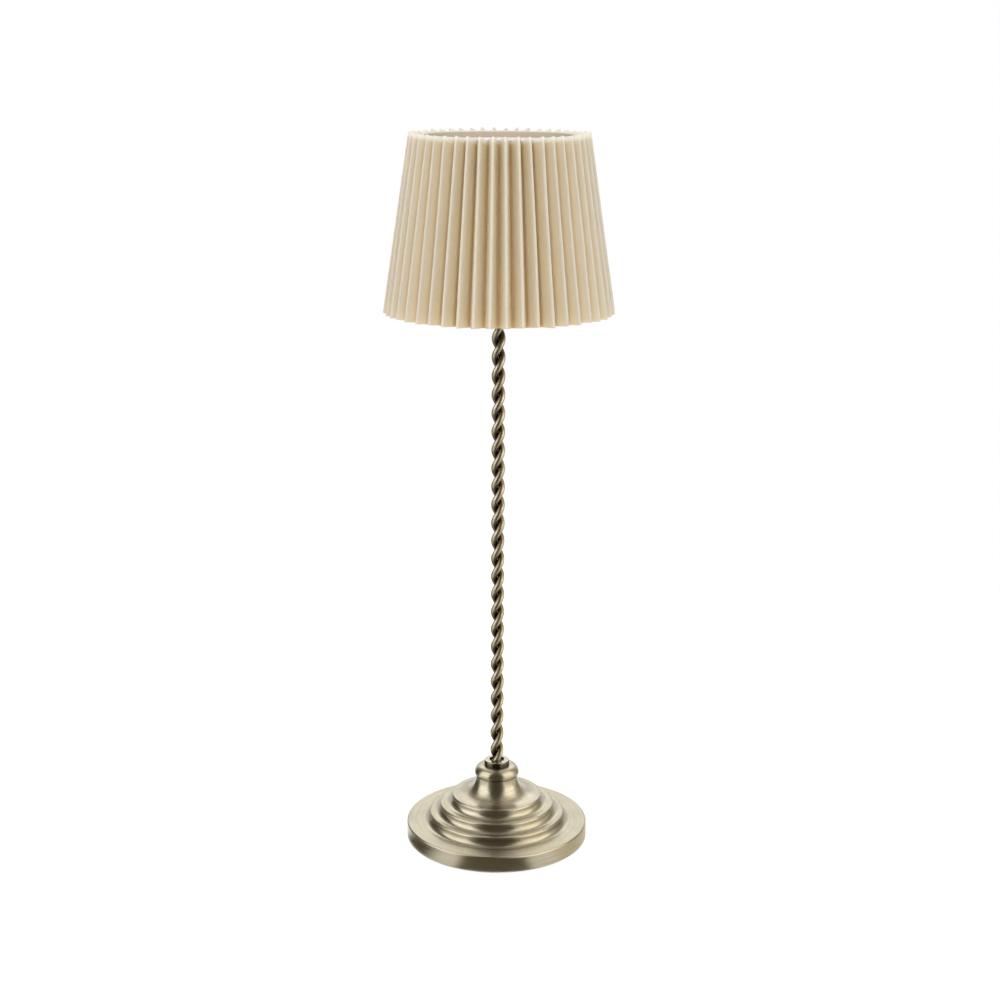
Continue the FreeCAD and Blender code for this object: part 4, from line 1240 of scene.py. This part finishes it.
@dataclass
class Softbox:
    """One soft studio lamp, in metres."""

    name: str
    place: tuple[float, float, float]
    size: tuple[float, float]
    radiance: float
    aim: tuple[float, float, float] = (0.0, 0.0, 0.2)
    in_metal: bool = True

    def hang(self) -> None:
        """Adds the lamp, aimed at the object."""
        data = bpy.data.lights.new(self.name, "AREA")
        data.shape = "RECTANGLE"
        data.size, data.size_y = self.size
        data.energy = self.radiance * math.pi * self.size[0] * self.size[1]
        lamp = bpy.data.objects.new(self.name, data)
        bpy.context.scene.collection.objects.link(lamp)
        lamp.visible_camera = False
        lamp.visible_glossy = self.in_metal
        lamp.location = self.place
        away = Vector(self.place) - Vector(self.aim)
        lamp.rotation_euler = away.to_track_quat("Z", "Y").to_euler()


def stage_board(name: str) -> tuple[bpy.types.Material, Board]:
    """Starts the material of a stage piece, which isn't sampled as a lamp.

    Args:
        name: Name of the material.

    Returns:
        The material and its board.
    """
    paper = bpy.data.materials.new(name)
    board = fresh_board(paper)
    paper.cycles.emission_sampling = "NONE"
    return paper, board


@dataclass
class Flag:
    """A soft-edged card that only glossy surfaces reflect: a painted reflection, dark or warm, in
    the metal.

    It lies round the lamp's axis from its foot to its radius, in metres, and curves up
    from there to its top, an angle in degrees, as its bearing, spread and soft edge are.
    """

    name: str
    bearing: float
    spread: float
    tone: float
    foot: float = 0.088
    radius: float = 2.2
    top: float = 84.0
    lift: float = 0.0005
    soft: float = 4.0
    tint: tuple[float, ...] = (1.0, 0.84, 0.6, 1.0)
    steps: int = 12

    def stand(self) -> None:
        """Adds the card, hidden from all but reflections."""
        card = put(self.sheet(), self.name, self.paper())
        card.visible_camera = card.visible_diffuse = False
        card.visible_transmission = card.visible_shadow = False

    def sheet(self) -> bmesh.types.BMesh:
        """The card's form, spun from the line at its right-hand side.

        Returns:
            The open sheet.
        """
        steps = range(self.steps + 1) if self.top else (0,)
        rises = [math.radians(self.top) * step / self.steps for step in steps]
        places = [(self.foot, self.lift)]
        places += [(self.radius * math.cos(rise), self.lift + self.radius * math.sin(rise))
                   for rise in rises]
        start = math.radians(self.bearing - self.spread / 2)
        shape = bmesh.new()
        verts = [shape.verts.new(at(reach, start, level)) for reach, level in places]
        edges = [shape.edges.new(pair) for pair in zip(verts, verts[1:])]
        bmesh.ops.spin(shape, geom=verts + edges, axis=(0, 0, 1), cent=(0, 0, 0),
                       angle=math.radians(self.spread), steps=self.steps, use_merge=False)
        return shape

    def paper(self) -> bpy.types.Material:
        """The card's glow, which fades out to both sides.

        Returns:
            The material.
        """
        paper, board = stage_board(self.name + "_card")
        half = math.radians(self.spread) / 2
        turned = board.run("VectorRotate", {
            "Vector": board.spot(), "Angle": -math.radians(self.bearing)},
            rotation_type="Z_AXIS")
        x, y, _ = board.split(turned)
        aside = board.math("ABSOLUTE", board.math("ARCTAN2", y, x))
        surface = board.layered(board.span(aside, half - math.radians(self.soft), half),
                                board.run("Emission", {"Color": self.tint,
                                                       "Strength": self.tone}),
                                board.run("BsdfTransparent", {}))
        board.feed(board.place("OutputMaterial"), {"Surface": surface})
        return paper


def seen_white(board: Board, dim: Feed) -> bpy.types.NodeSocket:
    """White for what the camera, metal and clear plastic see, and a dimmer light otherwise.

    Args:
        board: The board of the world or of the floor's material.
        dim: The light that other surfaces get.

    Returns:
        The strength of the white.
    """
    path = board.place("LightPath").outputs
    direct = board.math("MAXIMUM", path["Is Camera Ray"], path["Is Glossy Ray"])
    seen = board.math("MAXIMUM", direct, path["Is Transmission Ray"])
    return board.math("MAXIMUM", seen, dim)


@dataclass
class Studio:
    """White floor and surround, broad lamps, and the cards that the metal reflects."""

    softboxes: tuple[Softbox, ...] = (
        Softbox("lamp_left", (-1.03, -0.38, 0.62), (1.15, 1.4), 1.55),
        Softbox("lamp_right", (1.03, -0.38, 0.62), (1.15, 1.4), 1.55),
        Softbox("lamp_back", (0.0, 1.5, 1.2), (1.8, 0.9), 1.4),
        Softbox("lamp_front", (0.0, -1.6, 0.9), (1.2, 1.2), 4.5, in_metal=False),
        Softbox("lamp_behind", (0.0, 1.6, 0.9), (1.2, 1.2), 3.0, in_metal=False))
    flags: tuple[Flag, ...] = (
        Flag("camera_flag", -95.0, 80.0, 0.12),
        Flag("left_flag", 150.0, 50.0, 0.12, soft=9.0),
        Flag("right_flag", 36.0, 34.0, 0.5, soft=8.0),
        Flag("warm_card", -16.0, 64.0, 1.05, foot=0.051, soft=8.0,
             tint=(1.0, 0.91, 0.74, 1.0)),
        Flag("rim_flag", -92.0, 60.0, 0.2, foot=0.051, radius=0.088, top=0.0, soft=9.0),
        Flag("left_rim_flag", -157.0, 52.0, 0.12, foot=0.051, radius=0.088, top=0.0,
             soft=19.0))
    surround_level: float = 0.35
    floor_radius: float = 0.6
    floor_drop: float = 0.3 * MM
    floor_steps: int = 96
    floor_grey: tuple[float, ...] = (0.6, 0.6, 0.6, 1.0)
    floor_glow: float = 0.62

    def light(self) -> None:
        """Sets up the lamps, the cards, the surround and the floor."""
        bpy.context.scene.view_settings.view_transform = "Standard"
        for item in self.softboxes:
            item.hang()
        for item in self.flags:
            item.stand()
        self.surround()
        self.floor()

    def surround(self) -> None:
        """A white surround that lights the lamp softly."""
        world = bpy.data.worlds.new("studio")
        bpy.context.scene.world = world
        board = fresh_board(world)
        white = board.run("Background", {
            "Color": WHITE, "Strength": seen_white(board, self.surround_level)})
        board.feed(board.place("OutputWorld"), {"Surface": white})

    def floor(self) -> None:
        """A white round floor that runs off into the surround, clear from below."""
        shape = bmesh.new()
        bmesh.ops.create_circle(shape, cap_ends=True, radius=self.floor_radius,
                                segments=self.floor_steps)
        bmesh.ops.translate(shape, verts=shape.verts, vec=(0, 0, -self.floor_drop))
        paper, board = stage_board("floor_paper")
        glow = board.times(seen_white(board, 0.0), self.floor_glow)
        both = board.run("AddShader", {
            0: board.run("BsdfDiffuse", {"Color": self.floor_grey}),
            1: board.run("Emission", {"Strength": glow})})
        surface = board.layered(board.place("NewGeometry").outputs["Backfacing"], both,
                                board.run("BsdfTransparent", {}))
        board.feed(board.place("OutputMaterial"), {"Surface": surface})
        put(shape, "floor", paper)


def main() -> None:
    """Builds the lamp's looks in order."""
    logging.basicConfig(level=logging.INFO, format="%(name)s: %(message)s")
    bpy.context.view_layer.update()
    PhotoCamera().place()
    Studio().light()
    for part in (Base(), Stem(), CandleHolder(), ShadeCarrier(), Shade(), Tealight()):
        part.build()
        LOG.info("built %s", type(part).__name__)


if __name__ == "__main__":
    main()
